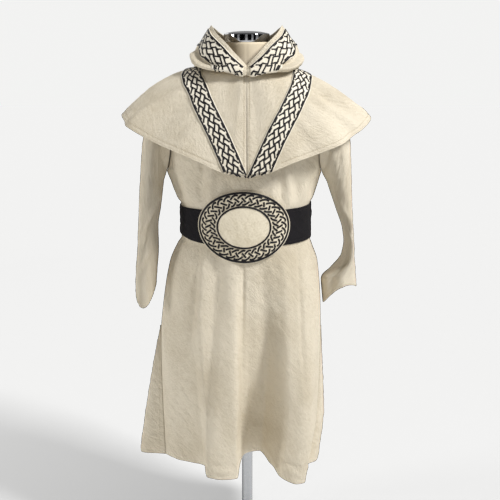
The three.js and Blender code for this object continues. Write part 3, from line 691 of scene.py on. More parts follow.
@dataclass(frozen=True)
class WovenCloth:
    """Woven cloth: plain weave, uneven crinkle from wear and washing, a soft nap, and painted shade
    darkening the crinkle's hollows.
    """

    name: str
    light: str
    dark: str
    thread: float  # mm between drawn threads, coarser than the real ones so that they show
    weave: float  # mm that the threads stand up
    crinkle: float  # mm that the crinkle stands up
    pitch: float  # mm from crinkle to crinkle
    slant: float  # degrees that the crinkle leans
    roughness: float = 0.92
    sheen: float = 0.2
    specular: float = 0.2

    def material(self) -> bpy.types.Material:
        """Build the material.

        Returns:
            The material.
        """
        material, tree, shader = new_material(self.name)
        place = node(tree, "ShaderNodeUVMap", uv_map="cloth").outputs["UV"]
        lean = node(
            tree,
            "ShaderNodeMapping",
            {"Vector": place, "Rotation": (0, 0, math.radians(self.slant)), "Scale": (1, 2.8, 1)},
            vector_type="TEXTURE",
        ).outputs["Vector"]
        crinkle = noise(tree, lean, 1 / self.pitch, 3.0, 0.55)
        pits = noise(tree, place, 1 / (0.45 * self.pitch), 2.0)
        soil = noise(tree, place, 1 / 160, 2.0)
        warp, weft = (
            node(
                tree,
                "ShaderNodeTexWave",
                {"Vector": place, "Scale": WAVE_SCALE / self.thread, "Distortion": 0.6},
                bands_direction=way,
            ).outputs["Fac"]
            for way in ("X", "Y")
        )
        threads = node(tree, "ShaderNodeMath", {0: warp, 1: weft}, operation="MAXIMUM")
        # The pits are squared, so that only the deepest cut into the crinkle.
        inputs = {0: pits, 1: pits, 2: crinkle}
        folds = node(tree, "ShaderNodeMath", inputs, operation="MULTIPLY_ADD").outputs["Value"]
        # Painted shade: the crinkle's height darkens the base colour in its hollows and lightens it
        # on its crests.
        painted_crease_shade = node(
            tree,
            "ShaderNodeMapRange",
            {"Value": folds, "From Min": 0.45, "From Max": 0.95, "To Min": 0.0, "To Max": 1.0},
        ).outputs["Result"]
        # The painted crease shade is mixed with real soiling from the large soil noise.
        inputs = {0: painted_crease_shade, 1: soil, 2: soil}
        soil_and_painted_shade = node(tree, "ShaderNodeMath", inputs, operation="MULTIPLY_ADD").outputs["Value"]
        dark, light = linear(self.dark), linear(self.light)
        weave = relief(tree, threads.outputs["Value"], self.weave)
        feed(
            shader,
            {
                "Base Color": shades(tree, soil_and_painted_shade, dark, light, (0.2, 0.9)),
                "Normal": relief(tree, folds, self.crinkle, under=weave),
                "Roughness": self.roughness,
                "Specular IOR Level": self.specular,
                "Sheen Weight": self.sheen,
                "Sheen Roughness": 0.45,
                "Sheen Tint": light,
            },
        )
        return material


@dataclass(frozen=True)
class Thread:
    """Embroidery thread: spun rayon laid in satin stitch, with a soft gloss."""

    name: str
    colour: str
    roughness: float
    strand: float = 1.1  # mm from stitch to stitch, coarser than real thread so that it shows

    def material(self) -> bpy.types.Material:
        """Build the material.

        Returns:
            The material.
        """
        material, tree, shader = new_material(self.name)
        place = node(tree, "ShaderNodeTexCoord").outputs["Object"]
        strands = node(
            tree,
            "ShaderNodeTexWave",
            {"Vector": place, "Scale": WAVE_SCALE / (self.strand * MM), "Distortion": 1.5},
            bands_direction="DIAGONAL",
        ).outputs["Fac"]
        base = linear(self.colour)[:3]
        worn, fresh = (*[c * 0.7 for c in base], 1), (*[min(1, c * 1.5) for c in base], 1)
        feed(
            shader,
            {
                "Base Color": shades(tree, noise(tree, place, 90.0, 3.0), worn, fresh),
                "Normal": relief(tree, strands, 0.12, 0.7),
                "Roughness": self.roughness,
                "Specular IOR Level": 0.3,
            },
        )
        return material


@dataclass(frozen=True)
class Jersey:
    """The dress form's cover: fine cotton jersey stretched over a padded shell."""

    name: str
    light: str
    dark: str
    loop: float = 1.4  # mm from knit loop to loop

    def material(self) -> bpy.types.Material:
        """Build the material.

        Returns:
            The material.
        """
        material, tree, shader = new_material(self.name)
        place = node(tree, "ShaderNodeTexCoord").outputs["Object"]
        loops = node(
            tree,
            "ShaderNodeTexVoronoi",
            {"Vector": place, "Scale": 1 / (self.loop * MM), "Randomness": 0.4},
        ).outputs["Distance"]
        soil = noise(tree, place, 9.0, 3.0)
        dark, light = linear(self.dark), linear(self.light)
        feed(
            shader,
            {
                "Base Color": shades(tree, soil, dark, light, (0.35, 0.7)),
                "Normal": relief(tree, loops, 0.15, 0.6),
                "Roughness": 0.8,
                "Specular IOR Level": 0.25,
                "Sheen Weight": 0.15,
            },
        )
        return material


class Polish(Enum):
    """How a metal's surface was made."""

    CHROME = "chrome"
    BRUSHED = "brushed"


@dataclass(frozen=True)
class Metal:
    """Chrome plate or brushed steel, with faint handling marks."""

    name: str
    colour: str
    polish: Polish
    roughness: float

    def material(self) -> bpy.types.Material:
        """Build the material.

        Returns:
            The material.
        """
        material, tree, shader = new_material(self.name)
        place = node(tree, "ShaderNodeTexCoord").outputs["Object"]
        brushed = self.polish is Polish.BRUSHED
        inputs = {"Vector": place, "Scale": (1.0, 1.0, 60.0 if brushed else 1.0)}
        drawn = node(tree, "ShaderNodeMapping", inputs).outputs["Vector"]
        marks = noise(tree, drawn, 30.0, 6.0)
        spread = 0.14 if brushed else 0.05
        rough = node(
            tree,
            "ShaderNodeMapRange",
            {
                "Value": marks,
                "To Min": max(0.02, self.roughness - spread),
                "To Max": self.roughness + spread,
            },
        ).outputs["Result"]
        feed(
            shader,
            {
                "Base Color": linear(self.colour),
                "Metallic": 1.0,
                "Roughness": rough,
                "Normal": relief(tree, marks, 0.02, 0.3),
            },
        )
        return material


@dataclass
class Finishes:
    """All the finishes of the robe, its form and its stand."""

    linen: bpy.types.Material = field(init=False)
    ribbon: bpy.types.Material = field(init=False)
    canvas: bpy.types.Material = field(init=False)
    sash: bpy.types.Material = field(init=False)
    black_thread: bpy.types.Material = field(init=False)
    cream_thread: bpy.types.Material = field(init=False)
    jersey: bpy.types.Material = field(init=False)
    chrome: bpy.types.Material = field(init=False)
    steel: bpy.types.Material = field(init=False)

    def __post_init__(self) -> None:
        """Build every material once."""
        # Heavy cotton-linen, washed until it crinkles: matt cream with slanting fine creases.
        self.linen = WovenCloth(
            "washed_cotton_linen", "dfd5c1", "c3b69d", 1.5, 0.12, 2.4, 4.8, 40
        ).material()
        # The ribbon's ground is a close cotton rep, flatter and a little whiter than the linen.
        self.ribbon = WovenCloth(
            "cotton_rep_ribbon", "ece5d5", "d2c7b0", 1.1, 0.10, 0.25, 9.0, 20, 0.85, 0.15
        ).material()
        # The medallion is laid on plain canvas, slightly quilted by its stitching.
        self.canvas = WovenCloth(
            "cotton_canvas", "e2d8c2", "c3b79c", 1.4, 0.12, 0.7, 12.0, 30
        ).material()
        # The belt is black cotton drill: matt, with faint creases where it wraps the waist.
        self.sash = WovenCloth(
            "black_cotton_drill", "1b191c", "0c0b0d", 1.2, 0.12, 0.8, 10.0, 50, 0.9, 0.08
        ).material()
        self.black_thread = Thread("black_rayon_thread", "141215", 0.55).material()
        self.cream_thread = Thread("cream_cotton_thread", "b5a88e", 0.85).material()
        self.jersey = Jersey("cream_cotton_jersey", "e6d8bf", "d3c3a6").material()
        self.chrome = Metal("chrome_plate", "c4c5c9", Polish.CHROME, 0.07).material()
        self.steel = Metal("brushed_steel", "a9abae", Polish.BRUSHED, 0.3).material()


# ---------------------------------------------------------------- the robe's body
ROBE_SECTIONS = Table(
    "z left right front back",
    [
        (300, 250, 185, 150, 138),
        (434, 246, 202, 148, 136),
        (581, 238, 200, 145, 131),
        (723, 223, 196, 136, 126),
        (834, 203, 186, 129, 119),
        (884, 181, 169, 127, 113),
        (900, 171, 164, 127, 111),
        (993, 171, 164, 127, 111),
        (1006, 180, 171, 127, 113),
        (1040, 193, 182, 127, 115),
        (1075, 206, 192, 127, 114),
    ],
)
ROBE_FRONT_FOLDS = Table(
    "turn x y",
    [
        (-90, -222, -54), (-72, -189, -84), (-55, -150, -102), (-40, -113, -124),
        (-31, -103, -184), (-19, -62, -198), (-9, -25, -190), (-4, -19, -112), (3, -2, -52),
        (14, 34, -36), (26, 62, -110), (37, 92, -190), (50, 127, -220), (60, 147, -212),
        (70, 156, -165), (80, 158, -134), (90, 162, -112),
    ],
)
ROBE_BACK_FOLDS = Table(
    "turn x y",
    [
        (90, 176, 62), (103, 172, 116), (115, 150, 176), (127, 114, 152), (138, 88, 110),
        (150, 62, 150), (161, 32, 202), (173, -8, 194), (184, -36, 134), (193, -58, 106),
        (205, -86, 150), (216, -114, 198), (229, -154, 184), (242, -182, 126), (253, -200, 96),
        (262, -216, 82), (270, -232, 58),
    ],
)
ROBE_GORE_HEMS = {
    "left": Table(
        "across x y",
        [(0, -222, -54), (0.3, -289, -42), (0.5, -297, 2), (0.75, -284, 44), (1, -232, 58)],
    ),
    "right": Table(
        "across x y",
        [(0, 162, -112), (0.25, 186, -92), (0.5, 198, -30), (0.8, 198, 30), (1, 176, 62)],
    ),
}


@dataclass
class RobeBody:
    """The robe's front and back panels and the gores let into its side seams."""

    sections: Table = ROBE_SECTIONS
    front_folds: Table = ROBE_FRONT_FOLDS
    back_folds: Table = ROBE_BACK_FOLDS
    gathers: Sequence[Sequence[float]] = (
        (-66, 8, -5), (-52, 7, 4), (-40, 7, -4), (42, 7, -4), (54, 7, 4), (67, 7, -5),
        (118, 10, -5), (140, 10, 5), (172, 12, -6), (205, 11, 5), (232, 11, -5),
    )
    front_creases: Sequence[Crease] = ()
    back_creases: Sequence[Crease] = ()

    def ring(self, turn: Array, z: Array) -> Array:
        """Find points of the base ring, before folds, at turns and heights.

        Args:
            turn: Turns from the front, in degrees.
            z: Heights.

        Returns:
            The points.
        """
        turn, z = np.broadcast_arrays(np.asarray(turn, float), np.asarray(z, float))
        across, forward = np.sin(np.radians(turn)), np.cos(np.radians(turn))
        wide = np.where(across < 0, self.sections.at("left", z), self.sections.at("right", z))
        deep = np.where(forward > 0, self.sections.at("front", z), self.sections.at("back", z))
        return stack(wide * across, -deep * forward, z)

    @staticmethod
    def gore_opening(z: Array) -> Array:
        """Find how far the gores have opened at a height."""
        return clamp01((GORE_TOP_Z - z) / (GORE_TOP_Z - HEM_Z))

    def skirt(self, folds: Table, turn: Array, z: Array) -> Array:
        """Find points of the skirt and bodice below the armpits.

        Args:
            folds: The panel's folds at the hem.
            turn: Turns from the front, in degrees.
            z: Heights.

        Returns:
            The points.
        """
        ring = self.ring(turn, z)
        hem = self.ring(turn, np.full_like(ring[..., 2], HEM_Z))
        z = ring[..., 2]
        turns = folds.columns["turn"]
        near = np.minimum(turn - turns[0], turns[-1] - turn) / 25
        growth = clamp01((FOLD_TOP_Z - z) / (FOLD_TOP_Z - HEM_Z)) ** 1.3
        growth = lerp(growth, self.gore_opening(z), ease(1 - clamp01(near)))
        for axis, name in enumerate("xy"):
            ring[..., axis] += (folds.at(name, turn) - hem[..., axis]) * growth
        rise = ease((z - 1000) / 30) * (1 - ease((z - 1030) / 80))
        outward = unit(ring * np.array([1, 1, 0]))
        return ring + outward * (waves(self.gathers, turn) * rise)[..., None]

    def armhole(self, side: str, forward: float, rise: Array) -> Array:
        """Find points of half an armhole, from the armpit to the shoulder tip.

        Args:
            side: Which side it is on.
            forward: -1 for the front half, 1 for the back half.
            rise: Shares of the way up from the armpits.

        Returns:
            The points.
        """
        armpit = float(self.sections.at(side, ARMPIT_Z))
        bend = np.sin(math.pi * rise)
        x = lerp(armpit, SHOULDER_TIP[side], rise) - 14 * bend
        z = lerp(ARMPIT_Z, SHOULDER_TIP["z"], (1 - np.cos(math.pi * rise)) / 2)
        return stack(SIGNS[side] * x, forward * 62 * bend, z)

    @staticmethod
    def panel_top(front: bool, off: Array) -> Array:
        """Find the panel's top edge: shoulder seam, neckline, shoulder seam.

        Args:
            front: Whether it is the front panel.
            off: Turns from the panel's middle, in degrees.

        Returns:
            The points.
        """
        neck_turn = 26
        dip_y, dip_z = (-86, 1297) if front else (70, 1338)
        sign, far = np.sign(off), np.abs(off)
        t = clamp01((far - neck_turn) / (90 - neck_turn))
        tip = np.where(sign < 0, SHOULDER_TIP["left"], SHOULDER_TIP["right"])
        seam = stack(
            sign * lerp(NECK_SIDE["x"], tip, t),
            -SEAM_GAP if front else SEAM_GAP,
            lerp(NECK_SIDE["z"], SHOULDER_TIP["z"], t),
        )
        bow = np.radians(np.minimum(far / neck_turn, 1) * 90)
        neckline = stack(
            sign * NECK_SIDE["x"] * np.sin(bow),
            dip_y * np.cos(bow),
            lerp(dip_z, NECK_SIDE["z"], np.sin(bow) ** 2),
        )
        return np.where((far >= neck_turn)[..., None], seam, neckline)

    def upper(self, front: bool, off: Array, rise: Array) -> Array:
        """Find points of the chest or back above the armpits.

        Args:
            front: Whether it is the front panel.
            off: Turns from the panel's middle, in degrees.
            rise: Shares of the way up from the armpits.

        Returns:
            The points.
        """
        off, rise = np.broadcast_arrays(np.asarray(off, float), np.asarray(rise, float))

        def arch(at: Array) -> Array:
            """Arch from the bust's ring up to the top edge at turns off the middle.

            Args:
                at: Turns from the panel's middle, in degrees.

            Returns:
                The arch's points.
            """
            ring = self.ring(at if front else 180 - at, np.full_like(at, ARMPIT_Z))
            top = self.panel_top(front, at)
            up = np.sin(math.pi / 2 * rise)
            round_off = ease((np.abs(at) - 12) / 26)
            out = lerp((1 - up) ** 0.65, np.cos(math.pi / 2 * rise), round_off)
            return stack(
                lerp(ring[..., 0], top[..., 0], rise**1.5),
                lerp(top[..., 1], ring[..., 1], out),
                lerp(ring[..., 2], top[..., 2], up),
            )

        point = arch(off)
        across = (off + 90) / 180
        for side, edge, share in (("left", -90.0, 1 - across), ("right", 90.0, across)):
            miss = self.armhole(side, -1 if front else 1, rise) - arch(np.full_like(off, edge))
            point = point + miss * (share**5)[..., None]
        return point

    @staticmethod
    def fold_turns(folds: Table, count: int) -> Array:
        """Space the columns by both the turn and the length of the hem.

        Args:
            folds: The panel's folds at the hem.
            count: How many steps there are.

        Returns:
            The columns' turns.
        """
        turns = folds.columns["turn"]
        fine = np.linspace(turns[0], turns[-1], 1201)
        run = np.hypot(np.diff(folds.at("x", fine)), np.diff(folds.at("y", fine)))
        walked = np.concatenate([[0], np.cumsum(run + 1.6 * np.diff(fine))])
        return np.interp(np.linspace(0, walked[-1], count + 1), walked, fine)

    def panel(self, front: bool, count: int) -> Array:
        """Lay out the front or back panel's grid, from the hem to the shoulder seams.

        Args:
            front: Whether it is the front panel.
            count: How many columns it has.

        Returns:
            The grid's points.
        """
        folds = self.front_folds if front else self.back_folds
        turns = self.fold_turns(folds, count)
        levels = np.concatenate([HEM_ROWS, np.linspace(318, ARMPIT_Z, 148)])
        lower = self.skirt(folds, turns[None, :], levels[:, None])
        rises = np.linspace(0, 1, 52)[1:]
        off = turns if front else 180 - turns
        upper = self.upper(front, off[None, :], rises[:, None])
        grid = np.concatenate([lower, upper])
        return self.dress(grid, front)

    def dress(self, grid: Array, front: bool) -> Array:
        """Add the finer creases, the hem's turn-up and the seams' puckers to a panel.

        Args:
            grid: The grid's points, rows by columns by 3.
            front: Whether it is the front panel.

        Returns:
            The grid with its fine form.
        """
        normals = grid_normals(grid, False)
        x, z = grid[..., 0], grid[..., 2]
        share = np.linspace(0, 1, grid.shape[1])[None, :]
        inside = ease(np.minimum(share, 1 - share) / 0.05) * ease((1290 - z) / 60)
        places = cloth_places(grid, False)
        u, v = places[..., 0], places[..., 1]
        seed = 11 if front else 23
        depth = 0.5 * ripple(u, v, 30, 40, 22, seed) + 0.22 * ripple(u, v, 15, 42, 16, seed + 1)
        depth += 0.9 * ripple(u, v, 90, 8, 14, seed + 2) * ease((900 - z) / 200)
        depth += crease_sum(self.front_creases if front else self.back_creases, x, z)
        # Diagonal crinkles climb from the hem where it was pressed and trodden.
        low = ease((395 - z) / 90)
        depth += 0.8 * low * ripple(u, v, 24, 66, 18, seed + 3)
        tied = ease((np.abs(z - BELT_Z) - 40) / 26)
        depth *= inside * tied
        depth += -0.55 * np.exp(-(((z - HEM_STITCH_Z) / 1.6) ** 2))
        return grid + normals * depth[..., None]

    def gore(self, side: str) -> Array:
        """Lay out the grid of a side gore.

        Args:
            side: Which side it is on.

        Returns:
            The grid's points.
        """
        levels = np.concatenate([HEM_ROWS, np.linspace(318, 652, 78)])
        across = np.linspace(0, 1, 45)
        seam = np.full_like(levels, -90 if side == "left" else 90)
        ring = self.ring(seam, levels)[:, None, :] + np.zeros((1, len(across), 1))
        hem = self.ring(seam, np.full_like(levels, HEM_Z))[:, None, :]
        open_by = self.gore_opening(levels)[:, None]
        for axis, name in enumerate("xy"):
            wanted = ROBE_GORE_HEMS[side].at(name, across)[None, :]
            ring[..., axis] += (wanted - hem[..., axis]) * open_by
        if side == "left":
            ring = ring[:, ::-1]
        normals = grid_normals(ring, False)
        places = cloth_places(ring, False)
        share = np.linspace(0, 1, len(across))[None, :]
        inside = ease(np.minimum(share, 1 - share) / 0.12)
        depth = 0.7 * ripple(places[..., 0], places[..., 1], 24, 55, 20, 31) * inside
        # The bias edges pull: short puckers run in from both seams.
        edge = np.exp(-(((np.minimum(share, 1 - share)) / 0.16) ** 2))
        depth += 0.55 * edge * inside * np.sin(places[..., 1] / 21 * 2 * math.pi)
        depth += -0.5 * np.exp(-(((ring[..., 2] - HEM_STITCH_Z) / 1.6) ** 2))
        return ring + normals * depth[..., None]

    @staticmethod
    def inset(grid: Array) -> Array:
        """Draw a grid's side edges in by a seam gap.

        Args:
            grid: The grid's points, rows by columns by 3.

        Returns:
            The grid, drawn in.
        """
        grid = grid.copy()
        for end, nxt in ((0, 1), (-1, -2)):
            grid[:, end] += unit(grid[:, nxt] - grid[:, end]) * SEAM_GAP
        return grid

    def build(self, finishes: Finishes) -> None:
        """Make the panels, gores and their stitching.

        Args:
            finishes: The object's materials.
        """
        for name in ("robe_front", "robe_back"):
            grid = self.inset(self.panel(name == "robe_front", 214))
            made = wall_object(f"{name}_cloth", grid, finishes.linen)
            stand_for(made, name)
        for side in ("left", "right"):
            grid = self.inset(self.gore(side))
            made = wall_object(f"gore_{side}_cloth", grid, finishes.linen)
            stand_for(made, f"gore_{side}")
            threads = Threads()
            normals = grid_normals(grid, False)
            for column in (3, -4):
                threads.stitches(grid[4:-3, column], normals[4:-3, column])
            stitched = threads.finish(f"gore_{side}_stitches", finishes.cream_thread, "linen")


def stand_for(made: bpy.types.Object, node_name: str) -> None:
    """Let a piece ride on the body and stand for its solid.

    Args:
        made: The piece.
        node_name: The solid's node.
    """
    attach(made, "root")
    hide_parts(node_name)
    log.info("%s: %d faces", made.name, len(made.data.polygons))


# ---------------------------------------------------------------- sleeves
SLEEVE_NAMES = "row overX overZ underX underZ deep fore dip"


@dataclass
class Sleeve:
    """One bell sleeve, from the armhole to the cuff."""

    side: str
    sections: Table
    creases: Sequence[Crease] = ()

    def grid(self) -> Array:
        """Lay out the sleeve's rings, from the armhole down.

        Returns:
            The grid's points, rows by columns by 3.
        """
        last = self.sections.columns["row"][-1]
        cuff = last - np.array([0.16, 0.12, 0.08, 0.04, 0])
        rows = np.concatenate([np.linspace(0, last - 0.2, 128), cuff])
        rows, around = rows[:, None], np.linspace(0, 2 * math.pi, 88, endpoint=False)[None, :]
        read = {name: self.sections.at(name, rows) for name in SLEEVE_NAMES.split()[1:]}
        along = (1 - np.cos(around)) / 2
        first = clamp01(1 - rows)
        bend = 14 * np.abs(np.sin(around)) * first
        x = lerp(read["underX"], read["overX"], along) - bend + 2.2 * first
        y = -read["deep"] * np.sin(around) + read["fore"]
        dip = read["dip"] * np.maximum(0, np.sin(around)) ** 1.6
        z = lerp(read["underZ"], read["overZ"], along) - dip
        grid = stack(SIGNS[self.side] * x, y, z)
        if self.side == "right":
            grid = grid[:, ::-1]
        normals = grid_normals(grid, True)
        degrees = np.degrees(around if self.side == "left" else around[:, ::-1]) % 360
        places = cloth_places(grid, True)
        u, v = places[:, :-1, 0], places[:, :-1, 1]
        girth = places[0, -1, 0]
        blend = ease(np.minimum(u, girth - u) / 40)
        seed = 41 if self.side == "left" else 57
        free = ease(rows / 1.2)
        depth = 0.5 * ripple(u, v, 24, 50, 24, seed) + 0.3 * ripple(u, v, 12, 30, 20, seed + 1)
        depth = depth * blend + crease_sum(self.creases, degrees, grid[..., 2])
        return grid + normals * (depth * free)[..., None]

    def build(self, finishes: Finishes) -> None:
        """Make the sleeve and its cuff's stitching.

        Args:
            finishes: The object's materials.
        """
        grid = self.grid()
        made = wall_object(f"sleeve_{self.side}_cloth", grid, finishes.linen, closed=True)
        stand_for(made, f"sleeve_{self.side}")
        threads = Threads()
        normals = grid_normals(grid, True)
        loop = np.arange(grid.shape[1] + 1) % grid.shape[1]
        threads.stitches(grid[-5, loop], normals[-5, loop])
        stitched = threads.finish(f"cuff_{self.side}_stitches", finishes.cream_thread, "linen")


# ---------------------------------------------------------------- cape and yoke
CAPE_NECK_Z = Table(
    "turn z", [(0, 1318), (45, 1324), (90, 1337), (135, 1341), (180, 1343)]
)
CAPE_HEM_Z = Table(
    "turn left right",
    [
        (0, 1079, 1079), (10, 1092, 1092), (21, 1117, 1115), (33, 1141, 1134), (48, 1164, 1155),
        (63, 1189, 1180), (90, 1216, 1214), (118, 1182, 1178), (150, 1124, 1122),
        (180, 1098, 1098),
    ],
)
CAPE_SEAM = Table(
    "turn down",
    [
        (6, 1), (11.5, 0.85), (18, 0.72), (29, 0.57), (44, 0.42), (70, 0.28), (100, 0.18),
        (126, 0.07), (143, 0.025),
    ],
)


@dataclass
class Cape:
    """The shoulder cape in two sides, the yoke between its ribbons, and their shared surface."""

    neck_wide: float = 82
    neck_deep: float = 80
    neck_y: float = -8
    hem_left: float = 320
    hem_right: float = 312
    hem_front: float = 165
    hem_back: float = 152
    fall_front: float = 1.3
    fall_left: float = 2.2
    fall_right: float = 1.7
    neck_z: Table = CAPE_NECK_Z
    hem_z: Table = CAPE_HEM_Z
    folds: Sequence[Sequence[float]] = (
        (-30, 9, 5), (-46, 8, -10), (-62, 9, 7), (-80, 8, -4), (33, 7, -7), (45, 8, 7),
        (59, 8, -8), (76, 9, 5), (112, 10, -9), (132, 11, 8), (158, 11, -8), (-108, 10, 7),
        (-126, 10, -9), (-150, 12, 8),
    )
    seam: Table = CAPE_SEAM
    seam_step: float = 0.0026
    seam_first: float = 6.8
    seam_last: float = 143
    creases: Sequence[Crease] = ()

    def point(self, turn: Array, down: Array, fine: bool = True) -> Array:
        """Find points of the cape's surface.

        Args:
            turn: Turns from the front, in degrees.
            down: Shares of the way down from the neck to the hem.
            fine: Whether to add the finer creases.

        Returns:
            The points.
        """
        turn, down = np.broadcast_arrays(np.asarray(turn, float), np.asarray(down, float))
        across, forward = np.sin(np.radians(turn)), np.cos(np.radians(turn))
        left = across < 0
        off = np.abs(turn)
        neck = stack(
            self.neck_wide * across,
            self.neck_y - self.neck_deep * forward,
            self.neck_z.at("z", off),
        )
        wide = np.where(left, self.hem_left, self.hem_right)
        deep = np.where(forward > 0, self.hem_front, self.hem_back)
        hem_z = np.where(left, self.hem_z.at("left", off), self.hem_z.at("right", off))
        side_fall = np.where(left, self.fall_left, self.fall_right)
        fall = lerp(self.fall_front, side_fall, across * across)
        low = np.maximum(0, down)
        point = stack(
            lerp(neck[..., 0], wide * across, down),
            lerp(neck[..., 1], -deep * forward, down),
            lerp(neck[..., 2], hem_z, low**fall),
        )
        outward = unit(stack(across, -forward, 0.35))
        depth = waves(self.folds, turn) * low**1.6
        if fine:
            depth = depth + self.crinkle(turn, down)
        return point + outward * depth[..., None]

    def crinkle(self, turn: Array, down: Array) -> Array:
        """Find the depth of the cape's finer creases; they die out at the centre seams.

        Args:
            turn: Turns from the front, in degrees.
            down: Shares of the way down from the neck to the hem.

        Returns:
            The depths.
        """
        seams = ease(np.abs(np.sin(np.radians(turn))) / 0.08)
        low = ease(down / 0.25)
        u, v = turn * 3.0, down * 270
        depth = 0.5 * ripple(u, v, 42, 20, 30, 71) + 0.3 * ripple(u, v, 20, 60, 30, 72)
        return (depth * low + crease_sum(self.creases, u, v)) * seams

    def normal(self, turn: Array, down: Array) -> Array:
        """Find the surface's outward normals.

        Args:
            turn: Turns from the front, in degrees.
            down: Shares of the way down from the neck to the hem.

        Returns:
            Unit normals.
        """
        along = self.point(turn + 0.2, down) - self.point(turn - 0.2, down)
        up = self.point(turn, down - 0.004) - self.point(turn, down + 0.004)
        return unit(np.cross(along, up))

    def seam_down(self, turn: Array) -> Array:
        """Find how far down the yoke's seam runs at a turn."""
        return self.seam.at("down", np.abs(turn))

    def nearest(self, turn: Array, down: Array, target: Array) -> tuple[Array, Array]:
        """Find the turns and shares down of the surface's points nearest to targets.

        Args:
            turn: Turns to start from, in degrees.
            down: Shares down to start from.
            target: The points to come near to.

        Returns:
            The turns and the shares down.
        """
        turn, down = np.array(turn, float), np.array(down, float)
        step_turn, step_down = 0.2, 0.004
        for _ in range(7):
            here = self.point(turn, down, False)
            by_turn = (self.point(turn + step_turn, down, False) - here) / step_turn
            by_down = (self.point(turn, down + step_down, False) - here) / step_down
            miss = target - here
            aa, ab, bb = (
                np.sum(p * q, axis=-1)
                for p, q in ((by_turn, by_turn), (by_turn, by_down), (by_down, by_down))
            )
            am, bm = np.sum(by_turn * miss, -1), np.sum(by_down * miss, -1)
            det = aa * bb - ab * ab
            turn = turn + (am * bb - bm * ab) / det
            down = np.maximum(0.02, down + (bm * aa - am * ab) / det)
        return turn, down

    def height(self, turn: Array, out: Array) -> Array:
        """Find the cape's height at turns, a distance out from the neck's axis.

        Args:
            turn: Turns from the front, in degrees.
            out: Distances from the neck's axis.

        Returns:
            The heights.
        """
        turn, out = np.broadcast_arrays(np.asarray(turn, float), np.asarray(out, float))
        near, far = np.zeros_like(out), np.ones_like(out)
        for _ in range(20):
            middle = (near + far) / 2
            at = self.point(turn, middle, False)
            short = np.hypot(at[..., 0], at[..., 1] - self.neck_y) < out
            near, far = np.where(short, middle, near), np.where(short, far, middle)
        return self.point(turn, near, False)[..., 2]

    @staticmethod
    def rows(start: Array, end: Array, count: int, fine_end: bool) -> Array:
        """Spread rows from one share down to another.

        Args:
            start: The first row's shares.
            end: The last row's shares.
            count: How many steps there are.
            fine_end: Whether the last rows are closer together.

        Returns:
            The rows' shares.
        """
        t = np.linspace(0, 1, count + 1)
        if fine_end:
            t = np.concatenate([t[:-1], 1 - np.array([0.022, 0.016, 0.011, 0.007, 0.003, 0.0])])
            t = np.unique(np.round(t, 5))
        return start[None, :] + (end - start)[None, :] * t[:, None]

    def build(self, finishes: Finishes) -> None:
        """Make the yoke, the cape's sides and their stitching.

        Args:
            finishes: The object's materials.
        """
        for side, sign in SIGNS.items():
            turns = sign * np.concatenate([[CENTRE_GAP], np.linspace(1.2, 136, 128)])
            edge = self.seam_down(turns) - self.seam_step
            downs = self.rows(np.zeros_like(turns), edge, 62, False)
            grid = self.point(turns[None, :], downs)
            # A narrow groove beside the centre seam, between its two rows of topstitching.
            grid = self.groove(grid, np.abs(grid[..., 0]), 5.0)
            yoke = wall_object(f"yoke_{side}_cloth", grid[::-1], finishes.linen, turned=sign < 0)
            stand_for(yoke, f"yoke_{side}")
            threads = Threads()
            down = np.linspace(0.03, 0.985, 120)
            turn = self.turn_at(sign * 6.5, down)
            threads.stitches(self.point(turn, down), self.normal(turn, down))
            stitched = threads.finish(f"yoke_{side}_stitches", finishes.cream_thread, "linen")

            back = np.linspace(144, 180 - CENTRE_GAP, 34)
            front = np.linspace(self.seam_first, self.seam_last, 128)
            turns = sign * np.concatenate([front, back])
            seam = self.seam_down(turns) + self.seam_step
            start = np.where(np.abs(turns) > self.seam_last, 0, seam)
            downs = self.rows(start, np.ones_like(turns), 64, True)
            grid = self.point(turns[None, :], downs)
            grid = self.groove(grid, (1 - downs) * 250, 9.0)
            cape = wall_object(f"cape_{side}_cloth", grid[::-1], finishes.linen, turned=sign < 0)
            stand_for(cape, f"cape_{side}")
            threads = Threads()
            for inch in (0.012, 0.038):
                turn = sign * np.linspace(15.5, 179.6, 260)
                down = np.full_like(turn, 1 - inch)
                threads.stitches(self.point(turn, down), self.normal(turn, down))
            stitched = threads.finish(f"cape_{side}_stitches", finishes.cream_thread, "linen")

    def turn_at(self, x: float, down: Array) -> Array:
        """Find the turns at which the surface lies a distance beside the middle plane."""
        wide = lerp(self.neck_wide, self.hem_left if x < 0 else self.hem_right, down)
        return np.degrees(np.arcsin(x / wide))

    @staticmethod
    def groove(grid: Array, away: Array, at: float) -> Array:
        """Press a shallow groove into a grid where its distance from an edge is at.

        Args:
            grid: The grid's points, rows by columns by 3.
            away: Each point's distance from the edge.
            at: The groove's distance from it.

        Returns:
            The grid with the groove.
        """
        flat = -0.9 * np.exp(-(((away - at) / 1.8) ** 2))
        normals = grid_normals(grid[::-1], False)[::-1]
        facing = np.sign(np.sum(normals * stack(grid[..., 0], grid[..., 1], 200), -1))
        return grid + normals * (flat * facing)[..., None]


# ---------------------------------------------------------------- knotwork
class Tile(Enum):
    """What a square of the plait's chart holds."""

    RISING_OVER = "/"
    FALLING_OVER = "\\"
    TURN_ALONG = "-"
    TURN_ACROSS = "|"


